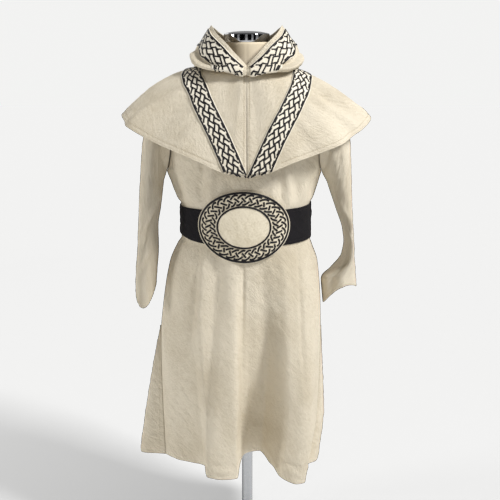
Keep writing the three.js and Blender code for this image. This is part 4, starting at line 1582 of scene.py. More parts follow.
@dataclass
class Plait:
    """An angular flat plait, charted by tiles, whose straps pass over and under in turn.

    The chart has levels across the ribbon and columns along it. Straps pass through the corners of
    every second square, and turn back at the ribbon's edges and at the chart's breaks.
    """

    step: float  # mm from level to level
    stretch: float  # how much longer a square is along the ribbon
    strap: float  # mm between the lines beside a strap
    line: float  # mm of a line's width
    chart: Sequence[str] = (
        "x.x.x.x.x.x.",
        ".x.x.-.x.x.x",
        "|.x.x.x.-.x.",
        ".x.x.x.x.x.|",
    )

    def tile(self, column_at: int, level: int) -> Tile | None:
        """Read the chart at a column and an inner level.

        Args:
            column_at: The column.
            level: The inner level, from 1.

        Returns:
            What the square holds, or None for an empty one.
        """
        row = self.chart[level - 1]
        if (column_at + level) % 2:
            return None
        mark = row[column_at % len(row)]
        if mark in "-|":
            return Tile(mark)
        return Tile.RISING_OVER if level % 2 else Tile.FALLING_OVER

    def edges(self, path: Sequence[tuple[float, float]]) -> list[Array]:
        """Offset a path to both sides, mitred at its corners.

        Args:
            path: The strap's middle line.

        Returns:
            The two lines beside the strap.
        """
        points = np.array(path, float)
        runs = unit(np.diff(points, axis=0))
        sides = np.stack([-runs[:, 1], runs[:, 0]], -1)
        out = []
        half = (self.strap + self.line) / 2
        for way in (-1, 1):
            line = [points[0] + way * half * sides[0]]
            for k in range(1, len(points) - 1):
                both = sides[k - 1] + sides[k]
                line.append(points[k] + way * half * both * 2 / np.dot(both, both))
            line.append(points[-1] + way * half * sides[-1])
            out.append(np.array(line))
        return out

    def strokes(self, length: float) -> list[Array]:
        """Draw the plait along a ribbon.

        Args:
            length: The ribbon's length.

        Returns:
            Lines of (along, across) points in mm, across 0 at the ribbon's middle.
        """
        levels = len(self.chart) + 1
        s, q = self.step, self.step / 2
        drawn: list[Array] = []

        def keep(cx: float, cy: float, path: Sequence[tuple[float, float]]) -> None:
            """Draw both lines of a strap along a path about a tile's middle."""
            for edge in self.edges(path):
                drawn.append(edge + np.array([cx, cy]))

        def crossing(cx: float, cy: float, rising: bool) -> None:
            """Draw two straps that cross at a tile's middle, the rising one above if rising.

            Args:
                cx: The tile's middle along the ribbon.
                cy: The tile's middle across it.
                rising: Whether the rising strap is above.
            """
            flip = 1 if rising else -1
            keep(cx, cy, [(-q, -q * flip), (q, q * flip)])
            # The strap below shows only beyond the lines of the one above.
            stop = (self.strap / 2 + self.line) / math.sqrt(2) + self.line * 0.1
            for way in (-1, 1):
                for edge in self.edges([(way * q, -way * q * flip), (0, 0)]):
                    start, aim = edge[0], edge[1] - edge[0]
                    far = np.array([way, -way * flip]) / math.sqrt(2)
                    reach = (np.dot(start, far) - stop * math.sqrt(2)) / -np.dot(aim, far)
                    drawn.append(np.array([start, start + aim * max(reach, 0.05)]) + (cx, cy))

        columns = int(length / (s * self.stretch)) + 2
        for i in range(-1, columns):
            for level in range(levels + 1):
                cx, cy = i * s, level * s
                if level in (0, levels):
                    if (i + level) % 2 == 0:
                        way = 1 if level == 0 else -1
                        keep(cx, cy, [(-q, way * q), (q, way * q)])
                    continue
                found = self.tile(i, level)
                # A turn's ends are given twice: its lines then start in the tile's corners.
                if found is Tile.TURN_ALONG:
                    for end in (-q, q):
                        keep(cx, cy, [(-q, end), (-q, end), (q, end), (q, end)])
                elif found is Tile.TURN_ACROSS:
                    for end in (-q, q):
                        keep(cx, cy, [(end, -q), (end, -q), (end, q), (end, q)])
                elif found is not None:
                    crossing(cx, cy, found is Tile.RISING_OVER)
        middle = levels * s / 2
        return [line * (self.stretch, 1.0) - (0, middle) for line in drawn]


def densify(line: Array, step: float) -> Array:
    """Add points to a line so that none are further apart than step.

    Args:
        line: The line's points.
        step: The largest distance between two points.

    Returns:
        The line with the points added.
    """
    parts = []
    for a, b in zip(line[:-1], line[1:]):
        count = max(1, int(math.ceil(np.linalg.norm(b - a) / step)))
        parts.append(a + (b - a) * (np.arange(count) / count)[:, None])
    return np.concatenate([*parts, line[-1:]])


def runs_of(keep: Array) -> list[slice]:
    """Find the stretches of an array of flags that are true."""
    edges = np.flatnonzero(np.diff(np.concatenate([[0], keep.astype(int), [0]])))
    return [slice(a, b) for a, b in zip(edges[::2], edges[1::2]) if b - a > 2]


RIBBON_PLAIT = Plait(step=7.7, stretch=1.8, strap=4.4, line=4.0)
EDGE_LINE = 4.4  # mm of the bold line along each side of a ribbon
BINDING = 1.6  # mm of plain cloth outside it
KNOT_HIGH = 0.55  # mm that the knotwork's thread stands up
KNOT_HALF = TRIM_WIDTH / 2 - BINDING - EDGE_LINE  # from a ribbon's middle to its edge lines


@dataclass
class CapeRibbon:
    """The knotwork ribbon over one side of the yoke's seam."""

    cape: Cape
    side: str
    last: float = 112  # the turn at which it ends, behind the neck

    @property
    def sign(self) -> int:
        """Which side the ribbon is on: -1 or 1."""
        return SIGNS[self.side]

    def lean(self, off: Array) -> Array:
        """Find how far, in degrees, the ribbon was laid nearer the middle than the seam."""
        return np.interp(off, (5, 29, 70), (1.7, 2.6, 4.0) if self.side == "left" else (0.7, 0, 0))

    def line_down(self, off: Array) -> Array:
        """Find how far down the ribbon's middle line runs at turns without sign."""
        return np.minimum(1.0, self.cape.seam_down(off + self.lean(off)))

    def centre(self, off: Array) -> tuple[Array, Array, Array, Array]:
        """Find the ribbon's middle line and its directions.

        Args:
            off: Turns from the front, without sign.

        Returns:
            Points, directions along the ribbon, normals, and the directions square to both.
        """
        cape, sign = self.cape, self.sign
        down = self.line_down(off)
        here = cape.point(sign * off, down)
        late = np.maximum(8.6 - self.lean(5), off)
        ahead = cape.point(sign * (late + 0.6), self.line_down(late + 0.6))
        behind = cape.point(sign * (late - 0.6), self.line_down(late - 0.6))
        run = unit(ahead - behind)
        normal = cape.normal(sign * off, down)
        return here, run, normal, unit(np.cross(normal, run))

    def grid(self) -> Array:
        """Lay out the ribbon's ground, from its foot on the hem to the neck behind.

        Returns:
            The grid's points, rows by columns by 3.
        """
        cape, sign = self.cape, self.sign
        first = self.cape.seam_first - self.lean(5)
        off = np.concatenate([np.linspace(first, 18, 36), np.linspace(18.5, self.last, 96)])
        here, run, _, square = self.centre(off)
        down = self.line_down(off)
        hem = np.ones_like(off)
        along_hem = unit(cape.point(sign * off + 0.5, hem) - cape.point(sign * off - 0.5, hem))
        along_hem *= np.sign(np.sum(along_hem * square, -1, keepdims=True))
        blend = ease(np.interp(off, [first, 9, 11.5, 14.5, 18], [0, 0.25, 0.5, 0.75, 1]))
        across = unit(lerp(along_hem, square, blend[:, None]))
        widen = 1 / np.linalg.norm(np.cross(across, run), axis=-1)
        shares = np.linspace(-1, 1, 17)
        target = here[:, None] + across[:, None] * (
            shares[None, :, None] * widen[:, None, None] * TRIM_WIDTH / 2
        )
        turn0 = np.broadcast_to((sign * off)[:, None], target.shape[:2])
        down0 = np.broadcast_to(down[:, None], target.shape[:2])
        turn, dn = cape.nearest(turn0, down0, target)
        turn, dn = sign * np.maximum(sign * turn, 0.3), np.minimum(1, dn)
        return cape.point(turn, dn) + cape.normal(turn, dn) * (RIBBON_GAP + TRIM_CLOTH)

    def lay(self, line: Array, fine: Array, walked: Array) -> tuple[Array, Array, Array]:
        """Lay a charted line on the ribbon.

        Args:
            line: Points (along, across) in mm.
            fine: Turns along the ribbon's middle line.
            walked: The distance along it at those turns.

        Returns:
            Points, normals, and flags for those on the ribbon's cloth.
        """
        # Below the hem the middle line runs straight on, so that the hem cuts the plait.
        off = np.interp(line[:, 0], walked, fine)
        here, run, _, square = self.centre(off)
        short = np.minimum(0, line[:, 0] - walked[0])[:, None]
        target = here + run * short + square * line[:, 1:2]
        turn, down = self.cape.nearest(self.sign * off, self.line_down(off), target)
        points = self.cape.point(turn, np.minimum(down, 1))
        normals = self.cape.normal(turn, np.minimum(down, 1))
        inside = (down < 0.999) & (self.sign * points[..., 0] > 0.8)
        return points + normals * (RIBBON_GAP + TRIM_CLOTH), normals, inside

    def build(self, finishes: Finishes) -> None:
        """Make the ribbon and its knotwork.

        Args:
            finishes: The object's materials.
        """
        grid = self.grid()
        made = wall_object(
            f"cape_trim_{self.side}_ribbon", grid, finishes.ribbon, wall=TRIM_CLOTH, turned=True
        )
        stand_for(made, f"cape_trim_{self.side}")
        fine = np.linspace(self.cape.seam_first - self.lean(5), self.last, 700)
        walked = walk(self.centre(fine)[0])
        threads = Threads()
        plait = RIBBON_PLAIT.strokes(walked[-1] + 60)
        lines = [(line - (50, 0), RIBBON_PLAIT.line) for line in plait]
        edge = np.array([[-60.0, 0], [walked[-1], 0]])
        lines += [(edge + (0, way * (KNOT_HALF + EDGE_LINE / 2)), EDGE_LINE) for way in (-1, 1)]
        for line, width in lines:
            dense = densify(line, 3.0)
            on_cloth = np.abs(dense[:, 1]) <= KNOT_HALF + EDGE_LINE
            dense = dense[on_cloth & (dense[:, 0] <= walked[-1])]
            if len(dense) < 2:
                continue
            points, normals, inside = self.lay(dense, fine, walked)
            for part in runs_of(inside):
                threads.stroke(points[part], normals[part], width, KNOT_HIGH)
        knots = threads.finish(f"cape_knotwork_{self.side}", finishes.black_thread, "ribbon")


# ---------------------------------------------------------------- hood
HOOD_NAMES = "turn underOut underLift lowOut lowLift bellyOut bellyZ sideOut sideZ rimOut rimZ"


HOOD_SECTIONS = Table(
    HOOD_NAMES,
    [
        (0, 86, 10, 94, 28, 96, 1329, 90, 1336, 79, 1343),
        (20, 89, 11, 100, 26, 104, 1330, 96, 1347, 80, 1371),
        (40, 95, 10, 108, 18, 113, 1328, 101, 1360, 82, 1398),
        (62, 104, 9, 122, 11, 129, 1337, 108, 1379, 85, 1419),
        (86, 108, 7, 130, 9, 140, 1349, 114, 1395, 88, 1437),
        (112, 110, 7, 136, 9, 150, 1343, 126, 1390, 89, 1431),
        (140, 114, 8, 148, 9, 172, 1272, 154, 1354, 93, 1413),
        (162, 114, 10, 146, 13, 182, 1229, 166, 1332, 97, 1402),
        (180, 114, 10, 144, 15, 183, 1214, 169, 1324, 99, 1398),
    ],
)
# Each side's pouch bulges over its ribbon: a ridge with a hollow above it.
HOOD_CREASES = {
    "left": (
        Crease((200, 92), (76, 60), 9, 10.0, 7),
        Crease((204, 114), (80, 78), 7, -8.0, 7),
        Crease((300, 60), (230, 120), 12, 5.0),
        Crease((250, 40), (180, 80), 10, -4.0),
    ),
    "right": (
        Crease((196, 86), (90, 62), 9, 8.0, 6),
        Crease((200, 106), (96, 80), 7, -6.5, 6),
        Crease((290, 70), (220, 130), 12, 5.0),
        Crease((240, 40), (186, 80), 9, -4.0),
    ),
}


@dataclass
class Hood:
    """The lowered hood in two halves, and the ribbon along its face edge."""

    cape: Cape
    sections: Table = HOOD_SECTIONS
    binding: float = 9.0
    centre_binding: float = 4.6  # degrees of plain cloth left beside the middle of the front

    def knots(self, turn: Array) -> Array:
        """Find the knots of the hood's sections, from the neck seam to the face edge.

        Args:
            turn: Turns from the front, in degrees.

        Returns:
            The knots, sections by 8 by 3.
        """
        turn = np.asarray(turn, float)
        off = np.abs(turn)
        read = {name: self.sections.at(name, off) for name in HOOD_NAMES.split()[1:]}
        across, forward = np.sin(np.radians(turn)), np.cos(np.radians(turn))
        neck_y = self.cape.neck_y

        def place(out: Array, z: Array) -> Array:
            """Find points a distance out from the neck's axis, at a height."""
            return stack(out * across, neck_y - out * forward, z)

        def above(out: Array, lift: Array) -> Array:
            """Find points a distance out, lifted off the cape."""
            return place(out, self.cape.height(turn, out) + lift)

        seam = self.cape.point(turn, np.zeros_like(turn))
        seam = seam + stack(across, -forward, 1) * 2 * REST_GAP
        near = (self.cape.neck_deep + read["underOut"]) / 2
        middle = (read["underOut"] + read["lowOut"]) / 2
        return np.stack(
            [
                seam,
                above(near, 0.85 * read["underLift"]),
                above(read["underOut"], read["underLift"]),
                above(middle, (read["underLift"] + read["lowLift"]) / 2),
                above(read["lowOut"], read["lowLift"]),
                place(read["bellyOut"], read["bellyZ"]),
                place(read["sideOut"], read["sideZ"]),
                place(read["rimOut"], read["rimZ"]),
            ],
            axis=1,
        )

    def turns(self, sign: int) -> Array:
        """Space the sections round the neck, in order from -X to +X."""
        turns = np.concatenate([[CENTRE_GAP], np.linspace(1.5, 178.5, 140), [180 - CENTRE_GAP]])
        return -turns[::-1] if sign < 0 else turns

    def surface(self, turn: Array, shares: Array) -> tuple[Array, Array]:
        """Find points of the hood.

        Args:
            turn: The sections' turns.
            shares: Shares of each section's length, sections by shares.

        Returns:
            Points, sections by shares by 3, and the sections' lengths.
        """
        points, lengths = curve_points(self.knots(turn), shares)
        off = np.abs(turn)[:, None]
        u, v = off * 2.2, shares * 180
        seams = ease(np.minimum(off, 180 - off) / 9)
        free = ease(shares / 0.3) * ease((1.08 - shares) / 0.2)
        sides = ease((off - 25) / 20)
        side, seed = ("left", 91) if turn.mean() < 0 else ("right", 97)
        depth = 0.6 * ripple(u, v, 34, 70, 30, seed)
        depth = depth + 1.6 * sides * ripple(u, v, 95, 55, 24, 93)
        depth = depth + crease_sum(HOOD_CREASES[side], u, v)
        depth = depth * free * seams * (shares < 0.995)
        across, forward = np.sin(np.radians(turn)), np.cos(np.radians(turn))
        outward = unit(stack(across, -forward, 0.3))[:, None]
        return points + outward * depth[..., None], lengths

    @staticmethod
    def fold(turn: Array) -> Array:
        """Find the share of a section at which the hood turns under; the neck seam at the front."""
        return lerp(0.3, 0.52, ease((np.abs(turn) - 45) / 30))

    def levelness(self, turn: Array) -> Array:
        """Find the cosine of the face edge's slope.

        Args:
            turn: Turns from the front, in degrees.

        Returns:
            The cosines.
        """
        ends = [self.knots(turn + way)[:, -1] for way in (-1, 1)]
        step = ends[1] - ends[0]
        return np.hypot(step[:, 0], step[:, 1]) / np.linalg.norm(step, axis=-1)

    def build(self, finishes: Finishes) -> None:
        """Make the halves of the hood and their ribbons.

        Args:
            finishes: The object's materials.
        """
        for side, sign in SIGNS.items():
            turn = self.turns(sign)
            shares = np.concatenate([np.linspace(0, 0.975, 74), [0.983, 0.99, 0.995, 1]])
            points, _ = self.surface(turn, np.tile(shares, (len(turn), 1)))
            grid = points.transpose(1, 0, 2)
            made = wall_object(f"hood_{side}_cloth", grid, finishes.linen)
            stand_for(made, f"hood_{side}")
            self.ribbon(side, sign, finishes)

    def ribbon(self, side: str, sign: int, finishes: Finishes) -> None:
        """Make the ribbon of one half and its knotwork.

        Args:
            side: The half's name.
            sign: Its side of the middle plane, -1 or 1.
            finishes: The object's materials.
        """
        turn = self.turns(sign)
        turn = turn[(np.abs(turn) > self.centre_binding) & (np.abs(turn) < 179)]
        _, lengths = self.surface(turn, np.ones((len(turn), 1)))
        scale = 1 / (self.levelness(turn) * lengths)
        rim = 1 - self.binding * np.minimum(scale, 1.6 / lengths)
        foot = np.maximum(self.fold(turn), rim - TRIM_WIDTH * scale)
        rise = np.linspace(0, 1, 15)
        shares = lerp(foot[:, None], rim[:, None], rise[None, :])
        points, _ = self.surface(turn, shares)
        lift = RIBBON_GAP + TRIM_CLOTH
        grid = points.transpose(1, 0, 2)
        made = wall_object(
            f"hood_trim_{side}_ribbon", grid, finishes.ribbon, wall=TRIM_CLOTH, lift=lift
        )
        stand_for(made, f"hood_trim_{side}")

        # A dense picture of the ribbon's surface, to lay the plait on: sections by distances.
        fine_turn = np.linspace(turn[0], turn[-1], 320)
        fine_scale = np.interp(fine_turn, turn, scale)
        fine_rim = np.interp(fine_turn, turn, rim)
        inch = np.linspace(0, TRIM_WIDTH, 41)
        fine_shares = fine_rim[:, None] - inch[None, :] * fine_scale[:, None]
        fold = self.fold(fine_turn)[:, None]
        held = np.maximum(fine_shares, fold)
        surface, _ = self.surface(fine_turn, held)
        surface = surface.transpose(1, 0, 2)[::-1]
        normals = grid_normals(surface, False)
        surface = surface + normals * lift
        shown = (fine_shares >= fold + 0.004).T[::-1]
        walked = walk(surface[-1])
        threads = Threads()
        lines = [(line - (10, 0), RIBBON_PLAIT.line) for line in RIBBON_PLAIT.strokes(walked[-1])]
        for way in (-1, 1):
            level = way * (KNOT_HALF + EDGE_LINE / 2)
            lines.append((np.array([[0.0, level], [walked[-1], level]]), EDGE_LINE))
        for line, width in lines:
            dense = densify(line, 2.5)
            if sign < 0:
                dense = np.stack([walked[-1] - dense[:, 0], dense[:, 1]], -1)
            on_length = (dense[:, 0] >= 0) & (dense[:, 0] <= walked[-1])
            dense = dense[on_length & (np.abs(dense[:, 1]) <= KNOT_HALF + EDGE_LINE)]
            if len(dense) < 2:
                continue
            at = np.interp(dense[:, 0], walked, np.arange(len(walked)))
            level = (dense[:, 1] + TRIM_WIDTH / 2) / TRIM_WIDTH * (len(inch) - 1)
            i = np.clip(at.astype(int), 0, len(walked) - 2)
            j = np.clip(level.astype(int), 0, len(inch) - 2)
            fi, fj = (at - i)[:, None], (level - j)[:, None]

            def read(values: Array) -> Array:
                """Read the dense picture between its points.

                Args:
                    values: The picture's values, distances by sections by 3.

                Returns:
                    The values at the line's points.
                """
                low = values[j, i] * (1 - fi) + values[j, i + 1] * fi
                high = values[j + 1, i] * (1 - fi) + values[j + 1, i + 1] * fi
                return low * (1 - fj) + high * fj

            laid, norms = read(surface), unit(read(normals))
            for part in runs_of(shown[j, i] & shown[np.minimum(j + 1, len(inch) - 1), i]):
                threads.stroke(laid[part], norms[part], width, KNOT_HIGH)
        knots = threads.finish(f"hood_knotwork_{side}", finishes.black_thread, "ribbon")


# ---------------------------------------------------------------- belt
PLAQUE_CORD = 5.2  # mm of a cord's width
CORD_HIGH = 1.4  # mm that it stands up
BELT_EDGES = Table(
    "turn foot top",
    [
        (-180, 906, 990), (-120, 910, 987), (-90, 913, 986), (-45, 904, 990), (0, 900, 992),
        (45, 901, 992), (90, 902, 993), (120, 904, 992), (180, 906, 990),
    ],
)


@dataclass
class Belt:
    """The broad black belt and its oval medallion."""

    robe: RobeBody
    cloth: float = 2.5
    plaque_cloth: float = 3.0
    plaque_x: float = -7
    plaque_z: float = 951
    half_wide: float = 112
    half_high: float = 91
    edges: Table = BELT_EDGES

    def point(self, turn: Array, z: Array, off: Array | float) -> Array:
        """Find points of the belt's ring, a distance off the robe under it.

        Args:
            turn: Turns from the front, in degrees.
            z: Heights.
            off: Distances off the robe.

        Returns:
            The points.
        """
        turn, z = np.broadcast_arrays(np.asarray(turn, float), np.asarray(z, float))
        middle = np.full_like(z, BELT_Z)
        ring = self.robe.ring(turn, middle)
        sections = self.robe.sections
        wide = np.where(ring[..., 0] < 0, sections.at("left", middle), sections.at("right", middle))
        deep = np.where(
            np.cos(np.radians(turn)) > 0, sections.at("front", middle), sections.at("back", middle)
        )
        normal = unit(stack(ring[..., 0] / wide**2, ring[..., 1] / deep**2, 0))
        return stack(ring[..., 0], ring[..., 1], z) + normal * np.asarray(off)[..., None]

    def band(self, finishes: Finishes) -> None:
        """Make the belt's band.

        Args:
            finishes: The object's materials.
        """
        turn = np.linspace(-180, 180, 300, endpoint=False)[None, :]
        middle = np.linspace(0.06, 0.94, 36)
        rise = np.concatenate([[0, 0.012, 0.03], middle, [0.97, 0.988, 1]])[:, None]
        z = lerp(self.edges.at("foot", turn), self.edges.at("top", turn), rise)
        u, v = turn * 2.9, rise * 90
        creased = 0.35 + 0.9 * np.exp(-(((np.abs(turn) - 82) / 22) ** 2))
        depth = 0.75 * creased * ripple(u, v, 34, 80, 20, 111) + 0.3 * ripple(u, v, 16, 40, 40, 112)
        depth = np.maximum(depth * (np.abs(turn + 4) > 42) + 0.3, 0)
        roll = -0.5 * (np.exp(-((rise / 0.012) ** 2)) + np.exp(-(((1 - rise) / 0.012) ** 2)))
        grid = self.point(turn, z, REST_GAP + self.cloth + depth + roll)
        made = wall_object("belt_band_cloth", grid, finishes.sash, wall=self.cloth, closed=True)
        stand_for(made, "belt_band")
        threads = Threads()
        loop = np.arange(grid.shape[1] + 1) % grid.shape[1]
        normals = grid_normals(grid, True)
        for row in (4, -5):
            threads.stitches(grid[row, loop], normals[row, loop])
        stitched = threads.finish("belt_stitches", finishes.black_thread, "belt")

    def on_plaque(self, x: Array, z: Array, off: float) -> tuple[Array, Array]:
        """Find points and normals of the medallion's face at places across and up.

        Args:
            x: Places across.
            z: Heights.
            off: The distance off the robe.

        Returns:
            The points and the unit normals.
        """
        middle = np.full_like(x, BELT_Z)
        sections = self.robe.sections
        wide = np.where(x < 0, sections.at("left", middle), sections.at("right", middle))
        turn = np.degrees(np.arcsin(x / wide))
        base = self.point(turn, z, np.full_like(x, off))
        up = self.point(turn, z, np.full_like(x, off + 1.0))
        return base, unit(up - base)

    @staticmethod
    def swell(share: Array) -> Array:
        """Find how far the padding lifts the medallion at shares of the oval's size."""
        ring, heart = np.exp(-(((share - 0.8) / 0.11) ** 2)), 1 - clamp01(share / 0.6)
        return 1.1 * ring + 0.5 * heart

    def plait_ring(self, lay: Callable[[Array, Array, float, float], None]) -> None:
        """Lay a round plait of four cords, each over and under the others in turn.

        Args:
            lay: Lays one cord, given shares of the oval, angles, width and height.
        """
        middle, swing, turns, cord = 0.772, 0.135, 8, PLAQUE_CORD
        at = np.linspace(0, 2 * math.pi, 2201)
        size = np.array([self.half_wide, self.half_high])
        phases = [at * turns + k * math.pi / 2 for k in range(4)]
        shares = [middle + swing * np.sin(phase) for phase in phases]
        rays = np.stack([np.cos(at), np.sin(at)], -1)
        places = [rays * share[:, None] * size for share in shares]
        # A cord meets its opposite at 0 and half a turn, and its neighbours at the odd eighths.
        under = {2: 0.5, 1: 0.125, 3: 0.875}
        for k in range(4):
            turned = (phases[k] / (2 * math.pi)) % 1
            shown = np.ones(len(at), bool)
            for ahead, meet in under.items():
                other = places[(k + ahead) % 4]
                near = np.abs((turned - meet + 0.5) % 1 - 0.5) < 0.11
                for i in np.flatnonzero(near):
                    beside = other[max(0, i - 40) : i + 41]
                    miss = np.min(np.hypot(*(beside - places[k][i]).T))
                    shown[i] &= miss > cord / 2 + 1.7
            for part in runs_of(shown):
                thin = slice(part.start, part.stop, 5)
                lay(shares[k][thin], at[thin], cord, CORD_HIGH)

    def medallion(self, finishes: Finishes) -> None:
        """Make the medallion: an oval of canvas with corded outlines and a ring of plait.

        Args:
            finishes: The object's materials.
        """
        columns, rows = 150, 73
        lift = REST_GAP + self.cloth + SEAM_GAP + self.plaque_cloth
        around = np.linspace(math.pi * 0.985, math.pi * 0.015, columns + 1)[None, :]
        rise = np.sin(np.linspace(-math.pi / 2, math.pi / 2, rows))[:, None]
        x = self.plaque_x + self.half_wide * np.cos(around) + 0 * rise
        z = self.plaque_z + self.half_high * np.sin(around) * rise
        across, up = (x - self.plaque_x) / self.half_wide, (z - self.plaque_z) / self.half_high
        out = np.sqrt(across**2 + up**2)
        puff = self.swell(out) + 0.3 * ripple(x, z, 26, 70, 30, 131) * (out < 0.62)
        base, normal = self.on_plaque(x, z, lift)
        grid = base + normal * puff[..., None]
        made = wall_object("belt_plaque_canvas", grid, finishes.canvas, wall=self.plaque_cloth)
        stand_for(made, "belt_plaque")
        threads = Threads()
        theta = np.linspace(0, 2 * math.pi, 241)

        def lay(share: Array, at: Array, width: float, high: float) -> None:
            """Lay one cord at shares of the oval's size, round the angles at.

            Args:
                share: Shares of the oval's size.
                at: Angles round the oval.
                width: The cord's width.
                high: How far it stands up.
            """
            reach = self.half_wide * 0.995
            px = self.plaque_x + self.half_wide * share * np.cos(at)
            px = np.clip(px, self.plaque_x - reach, self.plaque_x + reach)
            pz = self.plaque_z + self.half_high * share * np.sin(at)
            points, normals = self.on_plaque(px, pz, lift)
            points = points + normals * self.swell(share)[..., None]
            threads.stroke(points, normals, width, high, 1.0)

        lay(np.full_like(theta, 0.962), theta, 6.0, CORD_HIGH)
        lay(np.full_like(theta, 0.575), theta, PLAQUE_CORD, CORD_HIGH)
        self.plait_ring(lay)
        cords = threads.finish("belt_plaque_cords", finishes.black_thread, "ribbon")

    def build(self, finishes: Finishes) -> None:
        """Make the belt.

        Args:
            finishes: The object's materials.
        """
        self.band(finishes)
        self.medallion(finishes)


# ---------------------------------------------------------------- dress form and stand
FORM_SECTIONS = Table(
    "z wide front back round",
    [
        (720, 148, 90, 100, 2),
        (780, 160, 101, 107, 2),
        (850, 157, 102, 102, 2),
        (946, 134, 96, 88, 2),
        (1040, 148, 106, 92, 2),
        (1130, 166, 106, 92, 2),
        (1200, 174, 95, 84, 2),
        (1250, 176, 78, 70, 1.9),
        (1278, 172, 68, 62, 1.6),
        (1293, 166, 63, 58, 1.35),
        (1303, 156, 60, 56, 1.2),
        (1313, 133, 58, 55, 1.15),
        (1323, 101, 57, 55, 1.3),
        (1331, 77, 57, 55, 1.6),
        (1343, 62, 57, 55, 1.9),
        (1366, 57, 56, 55, 2),
        (1397, 56, 56, 56, 2),
    ],
)
# Radius and height pairs of the turned metal parts, from the foot to the top.
CAP_PROFILE = (
    (0, 1397.3), (54.5, 1397.3), (56.2, 1397.7), (57, 1399.3), (57, 1414.8), (56.6, 1416.2),
    (55.4, 1417.2), (50, 1418.6), (34, 1421.6), (16, 1423.0), (0, 1423.3),
)
POLE_PROFILE = (
    (0, 53.3), (13.2, 53.3), (14, 54.2), (14, 690), (15.5, 700), (19, 708), (30, 711.6),
    (44.5, 711.9), (46, 713), (46, 718.6), (45, 719.7), (0, 719.7),
)
BASE_PROFILE = (
    (0, 0), (172.6, 0), (174.3, 0.7), (175, 2.2), (175, 4.8), (174.3, 6.3), (172.6, 7), (31, 7),
    (27, 8.2), (24.6, 10.6), (24, 13), (24, 50.6), (23.3, 52.4), (21.6, 53), (0, 53),
)


@dataclass
class DressForm:
    """The limbless dress form, its chrome neck cap, and its stand."""

    sections: Table = FORM_SECTIONS

    def build(self, finishes: Finishes) -> None:
        """Make the form, and finish the metal parts.

        Args:
            finishes: The object's materials.
        """
        levels = np.concatenate([[720, 721, 724, 728], np.linspace(734, 1397, 110)])[:, None]
        around = np.linspace(0, 2 * math.pi, 120, endpoint=False)[None, :]
        shrink = lerp(0.955, 1.0, np.sqrt(clamp01((levels - 720) / 8)))
        power = 2 / self.sections.at("round", levels)
        across, forward = (
            np.sign(s) * np.abs(s) ** power * shrink for s in (np.sin(around), np.cos(around))
        )
        deep = np.where(
            forward > 0, self.sections.at("front", levels), self.sections.at("back", levels)
        )
        grid = stack(self.sections.at("wide", levels) * across, -deep * forward, levels)
        # A flat-felled seam runs down the middle of the form, front and back.
        seam = -0.7 * np.exp(-((grid[..., 0] / 1.6) ** 2))
        grid = grid + grid_normals(grid, True) * (seam * (levels > 728))[..., None]
        vertices = np.concatenate([grid.reshape(-1, 3), [[0, 0, 720], [0, 0, 1397]]])
        rows, cols = grid.shape[:2]
        number = np.arange(rows * cols).reshape(rows, cols)
        nxt = np.roll(number, -1, axis=1)
        skin = np.stack([number[:-1], nxt[:-1], nxt[1:], number[1:]], -1).reshape(-1, 4)
        foot, top = rows * cols, rows * cols + 1
        first = np.stack([np.full(cols, foot), nxt[0], number[0]], -1)
        last = np.stack([np.full(cols, top), number[-1], nxt[-1]], -1)
        faces = [*skin.tolist(), *first.tolist(), *last.tolist()]
        made = make_from_faces("form_body_cover", vertices, faces, finishes.jersey)
        stand_for(made, "form_body")
        self.stand(finishes)

    def stand(self, finishes: Finishes) -> None:
        """Turn the neck cap, pole and base as smooth metal parts.

        Args:
            finishes: The object's materials.
        """
        cap = lathe("neck_cap_chrome", CAP_PROFILE, finishes.chrome)
        pole = lathe("stand_pole_steel", POLE_PROFILE, finishes.steel)
        base = lathe("stand_base_steel", BASE_PROFILE, finishes.steel)
        stand_for(cap, "neck_cap")
        stand_for(pole, "stand_pole")
        stand_for(base, "stand_base")


def make_from_faces(
    name: str, vertices: Array, faces: list[list[int]], finish: bpy.types.Material
) -> bpy.types.Object:
    """Make a smooth mesh object from faces of three or four sides.

    Args:
        name: The object's name.
        vertices: Points in mm.
        faces: Vertex numbers of each face.
        finish: The material.

    Returns:
        The object.
    """
    mesh = bpy.data.meshes.new(name)
    mesh.from_pydata((vertices * MM).tolist(), [], faces)
    mesh.materials.append(finish)
    mesh.update()
    made = bpy.data.objects.new(name, mesh)
    bpy.context.scene.collection.objects.link(made)
    turn_outwards(made)
    made.data.polygons.foreach_set("use_smooth", [True] * len(mesh.polygons))
    return made


def lathe(
    name: str, profile: Sequence[tuple[float, float]], finish: bpy.types.Material
) -> bpy.types.Object:
    """Spin a profile about +Z with the spin tool, from its foot on the axis to its top.

    Args:
        name: The object's name.
        profile: Radius and height pairs, the first and last on the axis.
        finish: The material.

    Returns:
        The object.
    """
    bpy.ops.object.select_all(action="DESELECT")
    bpy.ops.mesh.primitive_plane_add(size=0.01)
    made = bpy.context.object
    made.name = name
    work = bmesh.new()
    line = [work.verts.new((radius * MM, 0, height * MM)) for radius, height in profile]
    for a, b in zip(line, line[1:]):
        work.edges.new((a, b))
    work.to_mesh(made.data)
    work.free()
    bpy.ops.object.mode_set(mode="EDIT")
    bpy.ops.mesh.select_all(action="SELECT")
    bpy.ops.mesh.spin(steps=128, angle=2 * math.pi, center=(0, 0, 0), axis=(0, 0, 1))
    bpy.ops.mesh.select_all(action="SELECT")
    bpy.ops.mesh.remove_doubles(threshold=0.00002)
    bpy.ops.mesh.normals_make_consistent(inside=False)
    bpy.ops.object.mode_set(mode="OBJECT")
    made.data.materials.clear()
    made.data.materials.append(finish)
    bpy.ops.object.shade_smooth_by_angle(angle=math.radians(35))
    return made


# ---------------------------------------------------------------- studio
# Each black flag's turn round the set in degrees, and its width in metres.
FLAGS = (
    (-142, 2.2), (-96, 1.9), (-60, 1.5), (-22, 1.8), (14, 1.2), (40, 0.8), (74, 1.7), (126, 2.4)
)


